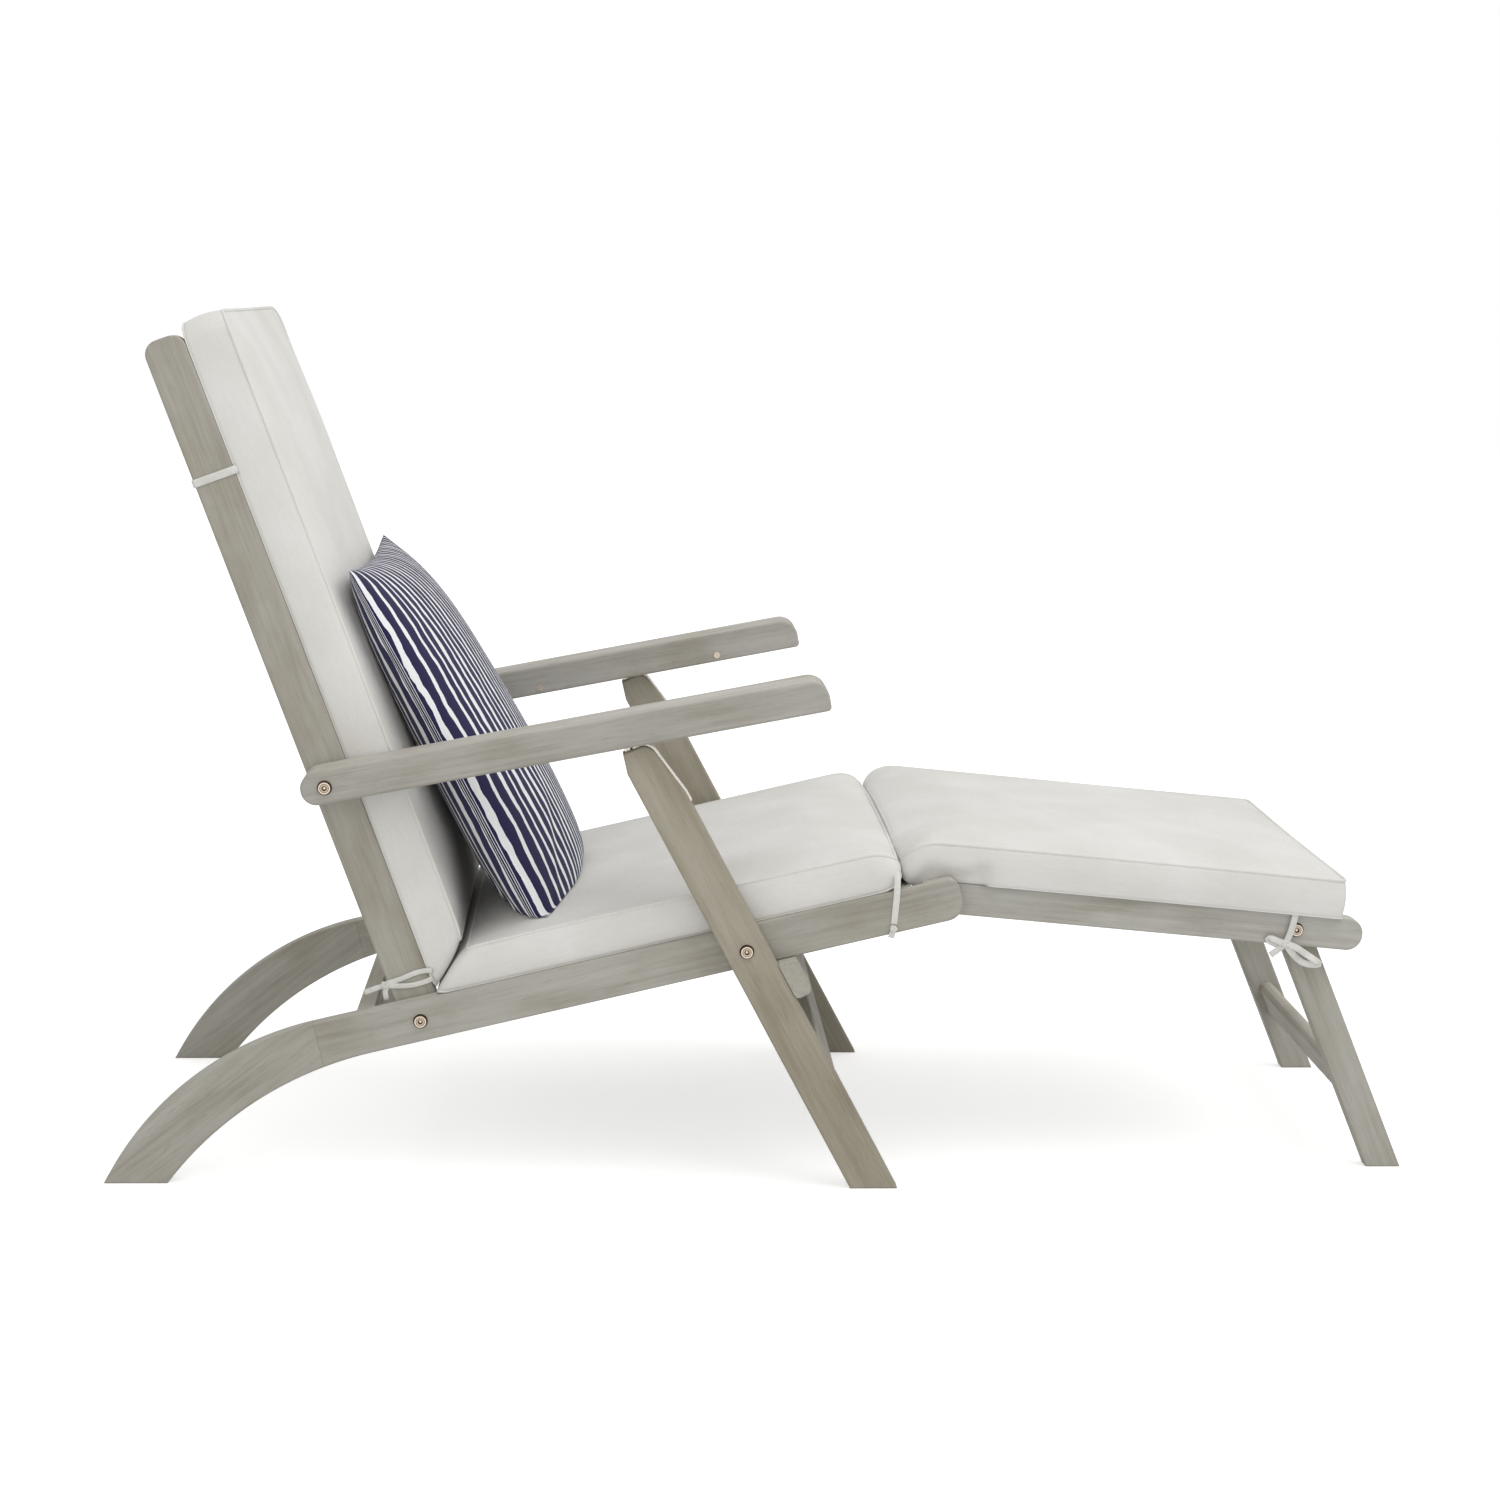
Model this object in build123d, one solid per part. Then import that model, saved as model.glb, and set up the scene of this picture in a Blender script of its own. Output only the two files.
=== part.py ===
from build123d import *
import os
from collections import namedtuple
from math import acos, asin, atan2, cos, degrees, hypot, radians, sin, sqrt, tan

# A folding wooden lounger with a reclining back, arms that rest on the front
# legs, and a hinged footrest on its own folding legs. Millimetres, +X towards
# the footrest, +Y to the sitter's left, +Z up, origin on the floor.

# Overall sizes
overall_length = 1448.0
overall_width = 600.0
knee_height = 317.0

# Boards: depth is seen from the side, thickness across the seat
frame_depth = 45.0
rail_thickness = 24.0
post_thickness = 22.0
leg_depth = 46.0
leg_thickness = 22.0
arm_height = 35.0
arm_width = 60.0
footrest_depth = 36.0
footrest_rail_thickness = 22.0
footrest_leg_thickness = 20.0
cross_thickness = 22.0
edge_chamfer = 1.5
arm_edge_chamfer = 2.0

# Gaps between boards that turn on each other, and fits
pivot_gap = 2.0
arm_outer_margin = 12.0
face_clearance = 0.05
hole_clearance = 0.05
soft_clearance = 0.3
cut_overrun = 5.0

# Angles in degrees
upright_angle = 90.0
seat_pitch_angle = 13.3
back_lean_angle = 20.2
leg_splay_angle = 28.2
footrest_drop_angle = 5.2

# Seat frame, measured along the rail from the knee pivot
seam_setback = 696.0
inner_curve_setback = 641.0
recline_setback = 582.0
leg_pivot_setback = 219.0
foot_outer_radius = 350.0
foot_inner_radius = 392.0
rail_nose = 22.5
rail_nose_top_round = 12.0
rail_nose_bottom_round = 19.0
finger_length = 12.0
finger_count = 3
rear_cross_setback = 630.0
rear_cross_height = 40.0
front_cross_setback = 40.0
front_cross_height = 32.0

# Slats lie flush in rebates along the inner edges of the rails and posts
slat_thickness = 10.0
slat_width = 44.0
slat_edge_chamfer = 1.2
slat_seat_depth = 12.0
seat_slat_spacing = 57.0
seat_slat_setback = 528.0
seat_slat_count = 9
back_slat_spacing = 66.0
back_slat_start = 80.0
back_slat_count = 10
footrest_slat_spacing = 55.0
footrest_slat_start = 45.0
footrest_slat_count = 6

# Back frame, measured along the post from the recline pivot
post_length = 779.0
post_top_round = 16.0
arm_pivot_height = 281.0
back_lower_rail_start = 52.0
back_upper_rail_start = 728.0
back_rail_height = 40.0
strap_height = 625.0
strap_width = 8.0
strap_thickness = 1.2
strap_reach = 34.0

# Arms, measured from the arm pivot
arm_front_reach = 544.0
arm_rear_reach = 26.0
arm_front_top_round = 20.0
arm_front_bottom_round = 5.0
rack_start = 200.0
rack_length = 270.0
rack_width = 12.0
rack_depth = 11.0
notch_spacing = 40.0
notch_depth = 4.0
notch_count = 4
rack_screw_inset = 15.0
rack_screw_rise = 8.0

# Front legs, measured up or down the leg from its pivot
leg_top_reach = 254.0
leg_taper_start = 185.0
leg_taper = 10.5
leg_corner_round = 14.0
leg_heel_taper = 6.0
leg_heel_start = 232.0
leg_top_step_height = 2.0
guide_thickness = 1.5
guide_width = 14.0
catch_radius = 3.0
catch_rise = 2.0
catch_inset = 12.0
catch_width = 10.0
catch_clearance = 0.4
stop_bar_thickness = 20.0
stop_bar_foot = 73.0
stop_bar_round = 6.0
stretcher_start = 128.0
stretcher_width = 40.0
stretcher_thickness = 18.0

# Footrest, measured from the knee pivot, and its legs from theirs
footrest_length = 457.0
footrest_pivot_reach = 400.0
footrest_end_start = 424.0
footrest_end_width = 30.0
footrest_leg_rise = 17.0
footrest_stretcher_start = 183.0
footrest_stretcher_width = 45.0

# Pivot hardware
bolt_diameter = 8.0
bolt_head_diameter = 16.0
bolt_head_height = 3.5
bolt_head_taper = 1.6
socket_width = 5.0
socket_depth = 2.0
washer_diameter = 18.0
washer_sides = 16
nut_width = 13.0
nut_height = 6.0
knee_pin_depth = 14.0
screw_head_diameter = 8.0
screw_head_height = 0.8

# Cushions
seat_cushion_thickness = 45.0
back_cushion_thickness = 49.0
footrest_cushion_thickness = 44.0
cushion_overhang = 10.0
seat_cushion_crown = 10.0
back_cushion_crown = 9.0
footrest_cushion_crown = 9.0
cushion_side_draw = 5.0
back_cushion_top = 788.0
seat_cushion_front = 46.0
footrest_cushion_back = 36.0
footrest_cushion_end = 452.0
cushion_fold_gap = 1.5
cushion_end_shares = (0.0, 0.04, 0.5, 0.96, 1.0)
cushion_thick_shares = (0.76, 1.0, 1.0, 1.0, 0.76)
cushion_crown_shares = (0.2, 0.6, 1.0, 0.6, 0.2)
cushion_width_shares = (0.985, 1.0, 0.985, 1.0, 0.985)
crown_across_shares = (1.0, 0.55, 0.0, -0.55, -1.0)
crown_rise_shares = (0.0, 0.7, 1.0, 0.7, 0.0)

# Scatter pillow, measured from the recline pivot to its middle
pillow_width = 450.0
pillow_height = 420.0
pillow_front_bulge = 58.0
pillow_back_bulge = 37.0
pillow_edge = 5.0
pillow_lean_angle = 27.8
pillow_middle_forward = 22.6
pillow_middle_rise = 300.0
pillow_end_shares = (0.0, 0.16, 0.5, 0.84, 1.0)
pillow_thick_shares = (0.05, 0.64, 1.0, 0.64, 0.05)
pillow_width_shares = (1.0, 0.965, 0.96, 0.965, 1.0)
pillow_across_shares = (1.0, 0.65, 0.3, -0.3, -0.65, -1.0)
pillow_rise_shares = (0.0, 0.6, 0.95, 0.95, 0.6, 0.0)

# Tie tapes of the cushions
tape_width = 7.0
tape_thickness = 1.2
knee_tape_length = 56.0
knee_tape_setback = 50.0
end_tape_length = 26.0
end_tape_reach = 380.0

# Half widths across the seat, from the outside in
arm_outer = overall_width / 2
arm_inner = arm_outer - arm_width
leg_outer = arm_outer - arm_outer_margin
leg_inner = leg_outer - leg_thickness
rail_outer = leg_inner - pivot_gap
rail_inner = rail_outer - rail_thickness
post_outer = rail_inner - pivot_gap
post_inner = post_outer - post_thickness
footrest_outer = rail_inner - pivot_gap
footrest_inner = footrest_outer - footrest_rail_thickness
foot_leg_outer = footrest_inner - pivot_gap
foot_leg_inner = foot_leg_outer - footrest_leg_thickness
seat_cushion_width = 2 * (rail_inner + cushion_overhang)
back_cushion_width = 2 * post_outer

Line2 = namedtuple("Line2", "origin along across")


def line_at(origin, angle, side=1):
    """A line in the side view: s runs along it, t across it, to its left when side is 1."""
    turn = radians(angle)
    along = Vector(cos(turn), 0, sin(turn))
    return Line2(origin, along, Vector(-sin(turn), 0, cos(turn)) * side)


def spot(line, s, t=0.0):
    return line.origin + line.along * s + line.across * t


def s_on_floor(line, t):
    """How far along the line a track at distance t meets the floor."""
    start = spot(line, 0, t)
    return -start.Z / line.along.Z


def plate(outline, low, high):
    """Extrudes a side-view outline, of points or edges, across the seat from low to high."""
    if isinstance(outline[0], Vector):
        face = make_face(Polyline(*outline, close=True))
    else:
        face = make_face(outline)
    solid = extrude(face, amount=high - low, dir=(0, 1, 0))
    return Pos(0, low, 0) * solid


def slab(line, s_low, s_high, t_low, t_high, y_low, y_high):
    corners = [(s_low, t_low), (s_high, t_low), (s_high, t_high), (s_low, t_high)]
    return plate([spot(line, s, t) for s, t in corners], y_low, y_high)


def corner(solid, place):
    """The edge across the seat that passes nearest to a side-view place."""
    edges = solid.edges().filter_by(Axis.Y)
    return edges.sort_by(lambda e: hypot(e.center().X - place.X, e.center().Z - place.Z))[0]


def rounded_corners(solid, places, radius):
    return fillet([corner(solid, p) for p in places], radius)


def eased(solid, radius):
    """Takes the sharp arris off the outline of a plate on both of its faces."""
    faces = solid.faces().filter_by(Axis.Y)
    return chamfer(ShapeList([e for f in faces for e in f.edges()]), radius)


def bored(solid, place, low, high, diameter=bolt_diameter):
    """A running hole across the seat."""
    return solid - rod(place, low, high, diameter / 2 + hole_clearance)


def rod(place, low, high, radius):
    base = Plane(origin=(place.X, low, place.Z), x_dir=(1, 0, 0), z_dir=(0, 1, 0))
    return base * Cylinder(radius, high - low, align=(Align.CENTER, Align.CENTER, Align.MIN))


def left_of(solid):
    return mirror(solid, about=Plane.XZ)


def group(solids):
    return Compound(children=[s for part in solids for s in part.solids()])


parts = {}


def pair(name, solid):
    """Keeps a right-hand piece, modelled at -Y, and its mirror image."""
    parts[name + "_right"] = solid
    parts[name + "_left"] = left_of(solid)


# Side-view lines. The seat frame is laid out from the knee, whose place along
# the floor follows from the heel of the curved rear foot.
pitch = radians(seat_pitch_angle)
half_frame = frame_depth / 2
seam_top_dx = -seam_setback * cos(pitch) - half_frame * sin(pitch)
seam_top_z = knee_height - seam_setback * sin(pitch) + half_frame * cos(pitch)
foot_centre_dx = seam_top_dx + foot_outer_radius * sin(pitch)
foot_centre_z = seam_top_z - foot_outer_radius * cos(pitch)
heel_dx = foot_centre_dx - sqrt(foot_outer_radius**2 - foot_centre_z**2)
knee = Vector(-overall_length / 2 - heel_dx, 0, knee_height)

rail = line_at(knee, seat_pitch_angle)
recline_pivot = spot(rail, -recline_setback)
leg_pivot = spot(rail, -leg_pivot_setback)
post = line_at(recline_pivot, upright_angle + back_lean_angle, side=-1)
arm_pivot = spot(post, arm_pivot_height)
leg = line_at(leg_pivot, leg_splay_angle - upright_angle)
half_leg = leg_depth / 2
half_arm = arm_height / 2
half_foot = footrest_depth / 2

# The arm's underside clears the catch on the leg top
catch_centre = spot(leg, -leg_top_reach - catch_rise, catch_inset - half_leg)
reach = catch_centre - arm_pivot
catch_offset = half_arm + catch_radius + catch_clearance
arm_angle = degrees(atan2(reach.Z, reach.X) + asin(catch_offset / reach.length))
arm = line_at(arm_pivot, arm_angle)
first_notch = (catch_centre - arm_pivot).dot(arm.along)

# The footrest's legs splay until their toes reach the overall length
footrest = line_at(knee, -footrest_drop_angle)
foot_pivot = spot(footrest, footrest_pivot_reach)
toe_run = overall_length / 2 - foot_pivot.X
foot_splay_angle = degrees(
    acos(half_foot / hypot(toe_run, foot_pivot.Z)) - atan2(foot_pivot.Z, toe_run)
)
foot_leg = line_at(foot_pivot, foot_splay_angle - upright_angle)


def rail_joint_finger(index):
    """One tongue of the joint between the rail and the curved foot."""
    pitch_y = rail_thickness / (2 * finger_count + 1)
    low = -rail_outer + pitch_y * (2 * index + 1)
    return slab(
        rail,
        -seam_setback - finger_length,
        -seam_setback,
        -half_frame - cut_overrun,
        half_frame + cut_overrun,
        low,
        low + pitch_y,
    )


def side_outline():
    """Rail and foot as one outline: straight rail, then two tangent arcs to the heel."""
    nose_top = spot(rail, rail_nose, half_frame)
    nose_bottom = spot(rail, rail_nose, -half_frame)
    top = spot(rail, -seam_setback, half_frame)
    bottom = spot(rail, -inner_curve_setback, -half_frame)
    outer_centre = top - rail.across * foot_outer_radius
    inner_centre = bottom - rail.across * foot_inner_radius
    heel = Vector(-overall_length / 2, 0, 0)
    inner_run = sqrt(foot_inner_radius**2 - inner_centre.Z**2)
    instep = Vector(inner_centre.X - inner_run, 0, 0)

    def middle(centre, first, last, radius):
        way = (first - centre) + (last - centre)
        return centre + way.normalized() * radius

    outer_middle = middle(outer_centre, top, heel, foot_outer_radius)
    inner_middle = middle(inner_centre, bottom, instep, foot_inner_radius)
    return [
        Line(nose_bottom, nose_top),
        Line(nose_top, top),
        ThreePointArc(top, outer_middle, heel),
        Line(heel, instep),
        ThreePointArc(instep, inner_middle, bottom),
        Line(bottom, nose_bottom),
    ]


def seat_side():
    """The right seat rail and its curved foot, joined by interlocking fingers."""
    side = plate(side_outline(), -rail_outer, -rail_inner)
    side = rounded_corners(side, [spot(rail, rail_nose, half_frame)], rail_nose_top_round)
    side = rounded_corners(side, [spot(rail, rail_nose, -half_frame)], rail_nose_bottom_round)
    side = eased(side, edge_chamfer)
    reach_back = overall_length
    behind = slab(
        rail,
        -reach_back,
        -seam_setback,
        -reach_back,
        reach_back,
        -rail_outer - cut_overrun,
        -rail_inner + cut_overrun,
    )
    fingers = [rail_joint_finger(i) for i in range(finger_count)]
    foot_zone = behind - fingers
    foot = side & foot_zone
    bar = side - foot_zone
    rebate = slab(
        rail,
        -seat_slat_setback - seat_slat_spacing + slat_width,
        -seat_slat_setback + seat_slat_spacing * seat_slat_count,
        half_frame - slat_thickness,
        half_frame + cut_overrun,
        -rail_inner - slat_seat_depth,
        -rail_inner + cut_overrun,
    )
    bar -= rebate
    for place in (recline_pivot, leg_pivot):
        bar = bored(bar, place, -rail_outer - cut_overrun, -rail_inner + cut_overrun)
    bar = bored(bar, knee, -rail_inner - knee_pin_depth, -rail_inner + cut_overrun)
    return bar, foot


def slat(line, start, width, top, half_span):
    """One board across the frame, with its top face at t = top."""
    board = slab(line, start, start + width, top - slat_thickness, top, -half_span, half_span)
    return chamfer(board.edges().filter_by(Axis.Y), slat_edge_chamfer)


def seat_frame():
    bar, foot = seat_side()
    pair("seat_rail", bar)
    pair("rear_foot", foot)
    half_span = rail_inner + slat_seat_depth
    parts["seat_slats"] = group(
        slat(rail, -seat_slat_setback + i * seat_slat_spacing, slat_width, half_frame, half_span)
        for i in range(seat_slat_count)
    )
    rear = slab(
        rail,
        -rear_cross_setback - cross_thickness,
        -rear_cross_setback,
        -rear_cross_height / 2,
        rear_cross_height / 2,
        -rail_inner,
        rail_inner,
    )
    parts["rear_cross_rail"] = chamfer(rear.edges().filter_by(Axis.Y), edge_chamfer)
    front_top = half_frame - slat_thickness
    front = slab(
        rail,
        -front_cross_setback - cross_thickness,
        -front_cross_setback,
        front_top - front_cross_height,
        front_top,
        -rail_inner,
        rail_inner,
    )
    parts["front_cross_rail"] = chamfer(front.edges().filter_by(Axis.Y), edge_chamfer)


def back_frame():
    side = slab(post, -half_frame, post_length, -half_frame, half_frame, -post_outer, -post_inner)
    low = [spot(post, -half_frame, -half_frame), spot(post, -half_frame, half_frame)]
    side = rounded_corners(side, low, half_frame - edge_chamfer / 2)
    high = [spot(post, post_length, -half_frame), spot(post, post_length, half_frame)]
    side = rounded_corners(side, high, post_top_round)
    side = eased(side, edge_chamfer)
    side -= slab(
        post,
        back_slat_start - back_slat_spacing + slat_width,
        back_slat_start + back_slat_spacing * back_slat_count,
        half_frame - slat_thickness,
        half_frame + cut_overrun,
        -post_inner - slat_seat_depth,
        -post_inner + cut_overrun,
    )
    for place in (recline_pivot, arm_pivot):
        side = bored(side, place, -post_outer - cut_overrun, -post_inner + cut_overrun)
    pair("back_post", side)
    half_span = post_inner + slat_seat_depth
    parts["back_slats"] = group(
        slat(post, back_slat_start + i * back_slat_spacing, slat_width, half_frame, half_span)
        for i in range(back_slat_count)
    )
    front = half_frame - slat_thickness
    for name, start in (("lower", back_lower_rail_start), ("upper", back_upper_rail_start)):
        board = slab(
            post,
            start,
            start + back_rail_height,
            front - cross_thickness,
            front,
            -post_inner,
            post_inner,
        )
        parts[f"back_{name}_rail"] = chamfer(board.edges().filter_by(Axis.Y), edge_chamfer)


def arms():
    board = slab(
        arm, -arm_rear_reach, arm_front_reach, -half_arm, half_arm, -arm_outer, -arm_inner
    )
    rear = [spot(arm, -arm_rear_reach, -half_arm), spot(arm, -arm_rear_reach, half_arm)]
    board = rounded_corners(board, rear, half_arm - edge_chamfer / 2)
    front_top = [spot(arm, arm_front_reach, half_arm)]
    board = rounded_corners(board, front_top, arm_front_top_round)
    front_bottom = [spot(arm, arm_front_reach, -half_arm)]
    board = rounded_corners(board, front_bottom, arm_front_bottom_round)
    board = eased(board, arm_edge_chamfer)
    rack_y = -(leg_outer + leg_inner) / 2
    groove = slab(
        arm,
        rack_start,
        rack_start + rack_length,
        -half_arm - cut_overrun,
        -half_arm + rack_depth,
        rack_y - rack_width / 2,
        rack_y + rack_width / 2,
    )
    board -= groove
    board = bored(board, arm_pivot, -arm_outer - cut_overrun, -arm_inner + cut_overrun)
    rack = slab(
        arm,
        rack_start,
        rack_start + rack_length,
        -half_arm,
        -half_arm + rack_depth,
        rack_y - rack_width / 2,
        rack_y + rack_width / 2,
    )
    for i in range(notch_count):
        middle = first_notch + i * notch_spacing
        notch = [
            spot(arm, middle - notch_depth - cut_overrun, -half_arm - cut_overrun),
            spot(arm, middle, -half_arm + notch_depth),
            spot(arm, middle + notch_depth + cut_overrun, -half_arm - cut_overrun),
        ]
        rack -= plate(notch, rack_y - rack_width, rack_y + rack_width)
    screws = []
    for s in (rack_start + rack_screw_inset, rack_start + rack_length - 2 * rack_screw_inset):
        place = spot(arm, s, -half_arm + rack_screw_rise)
        screws.append(
            rod(place, -arm_inner, -arm_inner + screw_head_height, screw_head_diameter / 2)
        )
    pair("arm", board)
    pair("arm_rack", rack)
    pair("rack_screws", group(screws))


def leg_top_outline(grow=0.0):
    """The shaped upper end of a front leg, tapered and rounded towards the front."""
    toe = s_on_floor(leg, half_leg)
    heel = s_on_floor(leg, -half_leg)
    return [
        spot(leg, toe, half_leg + grow),
        spot(leg, -leg_taper_start, half_leg + grow),
        spot(leg, -leg_top_reach + leg_top_step_height - grow, half_leg - leg_taper + grow),
        spot(leg, -leg_top_reach - grow, leg_heel_taper - half_leg),
        spot(leg, -leg_heel_start, -half_leg),
        spot(leg, heel, -half_leg),
    ]


def shaped_leg(grow, low, high):
    solid = plate(leg_top_outline(grow), low, high)
    nose = spot(leg, -leg_top_reach + leg_top_step_height - grow, half_leg - leg_taper + grow)
    return rounded_corners(solid, [nose], leg_corner_round + grow)


def front_legs():
    body = shaped_leg(0.0, -leg_outer, -leg_inner)
    body = eased(body, edge_chamfer)
    body = bored(body, leg_pivot, -leg_outer - cut_overrun, -leg_inner + cut_overrun)
    pair("front_leg", body)

    middle_y = -(leg_outer + leg_inner) / 2
    low, high = middle_y - guide_width / 2, middle_y + guide_width / 2
    strip = shaped_leg(guide_thickness, low, high) - shaped_leg(0.0, low, high)
    window = slab(
        leg,
        -leg_top_reach - leg_depth,
        -leg_taper_start + leg_taper,
        catch_inset + catch_radius * 2 - half_leg,
        leg_depth,
        low,
        high,
    )
    pair("leg_guide", strip & window)
    catch_low, catch_high = middle_y - catch_width / 2, middle_y + catch_width / 2
    nose = rod(catch_centre, catch_low, catch_high, catch_radius)
    base = slab(
        leg,
        -leg_top_reach - catch_rise,
        -leg_top_reach + leg_top_step_height,
        catch_inset - catch_radius - half_leg,
        catch_inset + catch_radius - half_leg,
        catch_low,
        catch_high,
    )
    wood = shaped_leg(0.0, catch_low, catch_high)
    pair("leg_catch", (nose + base) - wood)

    # The stop bar lies on the legs' front edges and bears on the rails
    rail_gap = half_frame + soft_clearance

    def s_under_rail(t):
        start = (spot(leg, 0, t) - knee).dot(rail.across)
        return (-rail_gap - start) / leg.along.dot(rail.across)

    back_t, front_t = half_leg, half_leg + stop_bar_thickness
    bar = plate(
        [
            spot(leg, s_under_rail(back_t), back_t),
            spot(leg, s_under_rail(front_t), front_t),
            spot(leg, stop_bar_foot, front_t),
            spot(leg, stop_bar_foot, back_t),
        ],
        -leg_outer,
        leg_outer,
    )
    foot_edges = [spot(leg, stop_bar_foot, front_t), spot(leg, stop_bar_foot, back_t)]
    parts["stop_bar"] = rounded_corners(bar, foot_edges, stop_bar_round)
    board = slab(
        leg,
        stretcher_start,
        stretcher_start + stretcher_width,
        half_leg - stretcher_thickness,
        half_leg,
        -leg_inner,
        leg_inner,
    )
    parts["leg_stretcher"] = chamfer(board.edges().filter_by(Axis.Y), edge_chamfer)


def footrest_frame():
    side = slab(
        footrest,
        -half_foot,
        footrest_length + half_foot,
        -half_foot,
        half_foot,
        -footrest_outer,
        -footrest_inner,
    )
    ends = [
        spot(footrest, s, t)
        for s in (-half_foot, footrest_length + half_foot)
        for t in (-half_foot, half_foot)
    ]
    side = rounded_corners(side, ends, half_foot - edge_chamfer / 2)
    side = eased(side, edge_chamfer)
    side -= slab(
        footrest,
        footrest_slat_start + slat_width - footrest_slat_spacing,
        footrest_slat_start + footrest_slat_spacing * footrest_slat_count,
        half_foot - slat_thickness,
        half_foot + cut_overrun,
        -footrest_inner - slat_seat_depth,
        -footrest_inner + cut_overrun,
    )
    for place in (knee, foot_pivot):
        side = bored(side, place, -footrest_outer - cut_overrun, -footrest_inner + cut_overrun)
    pair("footrest_rail", side)
    half_span = footrest_inner + slat_seat_depth
    parts["footrest_slats"] = group(
        slat(
            footrest,
            footrest_slat_start + i * footrest_slat_spacing,
            slat_width,
            half_foot,
            half_span,
        )
        for i in range(footrest_slat_count)
    )
    end = slab(
        footrest,
        footrest_end_start,
        footrest_end_start + footrest_end_width,
        half_foot - cross_thickness,
        half_foot,
        -footrest_inner,
        footrest_inner,
    )
    parts["footrest_end_rail"] = chamfer(end.edges().filter_by(Axis.Y), edge_chamfer)


def footrest_legs():
    corners = [
        spot(foot_leg, -footrest_leg_rise, half_foot),
        spot(foot_leg, s_on_floor(foot_leg, half_foot), half_foot),
        spot(foot_leg, s_on_floor(foot_leg, -half_foot), -half_foot),
        spot(foot_leg, -footrest_leg_rise, -half_foot),
    ]
    side = plate(corners, -foot_leg_outer, -foot_leg_inner)
    top = [corners[0], corners[3]]
    side = rounded_corners(side, top, half_foot - edge_chamfer / 2)
    side = eased(side, edge_chamfer)
    side = bored(side, foot_pivot, -foot_leg_outer - cut_overrun, -foot_leg_inner + cut_overrun)
    pair("footrest_leg", side)
    board = slab(
        foot_leg,
        footrest_stretcher_start,
        footrest_stretcher_start + footrest_stretcher_width,
        -stretcher_thickness / 2,
        stretcher_thickness / 2,
        -foot_leg_inner,
        foot_leg_inner,
    )
    rounding = stretcher_thickness / 2 - edge_chamfer
    parts["footrest_stretcher"] = fillet(board.edges().filter_by(Axis.Y), rounding)


def bolt(place, head_y, nut_y):
    """A domed socket bolt from head_y inwards, with a nut that starts at nut_y."""
    plane = Plane(origin=(place.X, head_y, place.Z), x_dir=(1, 0, 0), z_dir=(0, -1, 0))
    align = (Align.CENTER, Align.CENTER, Align.MIN)
    crest = bolt_head_diameter / 2 - bolt_head_taper
    head = plane * Cone(bolt_head_diameter / 2, crest, bolt_head_height, align=align)
    socket_plane = plane.offset(bolt_head_height - socket_depth)
    socket = extrude(
        socket_plane * RegularPolygon(socket_width / 2, 6, major_radius=False),
        amount=socket_depth + cut_overrun,
    )
    shank = rod(place, head_y, nut_y, bolt_diameter / 2)
    nut_plane = Plane(origin=(place.X, nut_y, place.Z), x_dir=(1, 0, 0), z_dir=(0, 1, 0))
    nut = extrude(nut_plane * RegularPolygon(nut_width / 2, 6, major_radius=False), amount=nut_height)
    return head - socket + shank + nut


def washer(place, low):
    plane = Plane(origin=(place.X, low + face_clearance, place.Z), x_dir=(1, 0, 0), z_dir=(0, 1, 0))
    outer = RegularPolygon(washer_diameter / 2, washer_sides)
    hole = RegularPolygon(bolt_diameter / 2 + hole_clearance, washer_sides, major_radius=False)
    return extrude(plane * (outer - hole), amount=pivot_gap - 2 * face_clearance)


def hardware():
    """Pivot bolts with their washers: one pair at each of the five pivots."""
    bolts = {
        "recline_bolt": (recline_pivot, -rail_outer, -post_inner),
        "leg_bolt": (leg_pivot, -leg_outer, -rail_inner),
        "footrest_leg_bolt": (foot_pivot, -footrest_outer, -foot_leg_inner),
        "arm_bolt": (arm_pivot, -arm_outer, -post_inner),
    }
    for name, (place, head_y, nut_y) in bolts.items():
        pair(name, bolt(place, head_y, nut_y))
    pin_end = -rail_inner - knee_pin_depth
    pin = rod(knee, pin_end, -footrest_inner, bolt_diameter / 2)
    head_plane = Plane(origin=(knee.X, -footrest_inner, knee.Z), x_dir=(1, 0, 0), z_dir=(0, 1, 0))
    hexagon = RegularPolygon(nut_width / 2, 6, major_radius=False)
    head = extrude(head_plane * hexagon, amount=bolt_head_height)
    pair("knee_pin", pin + head)
    gaps = {
        "recline_washer": (recline_pivot, -rail_inner),
        "leg_washer": (leg_pivot, -leg_inner),
        "arm_washer": (arm_pivot, -arm_inner),
        "knee_washer": (knee, -rail_inner),
        "footrest_leg_washer": (foot_pivot, -footrest_inner),
    }
    for name, (place, low) in gaps.items():
        ring = washer(place, low)
        parts[name + "s"] = group([ring, left_of(ring)])


def cushion(line, start, end, base, thickness, width, crown):
    """A boxed cushion: crowned top, sides that bulge and draw in, softened ends."""
    sections = []
    for place, thick, rise, wide in zip(
        cushion_end_shares, cushion_thick_shares, cushion_crown_shares, cushion_width_shares
    ):
        s = start + (end - start) * place
        high = thickness * thick
        low = (thickness - high) / 2
        top = low + high
        half = width / 2 * wide
        inner = half - cushion_side_draw

        def point(y, t):
            return spot(line, s, base + t) + Vector(0, y, 0)

        middle = (low + top) / 2
        crowned = [
            point(inner * across, top + crown * rise * up)
            for across, up in zip(crown_across_shares, crown_rise_shares)
        ]
        base_corners = [point(-half, middle), point(-inner, low), point(inner, low)]
        outline = crowned + base_corners + [point(half, middle)]
        sections.append(make_face(Polyline(*outline, close=True)))
    return loft(sections, ruled=True)


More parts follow.
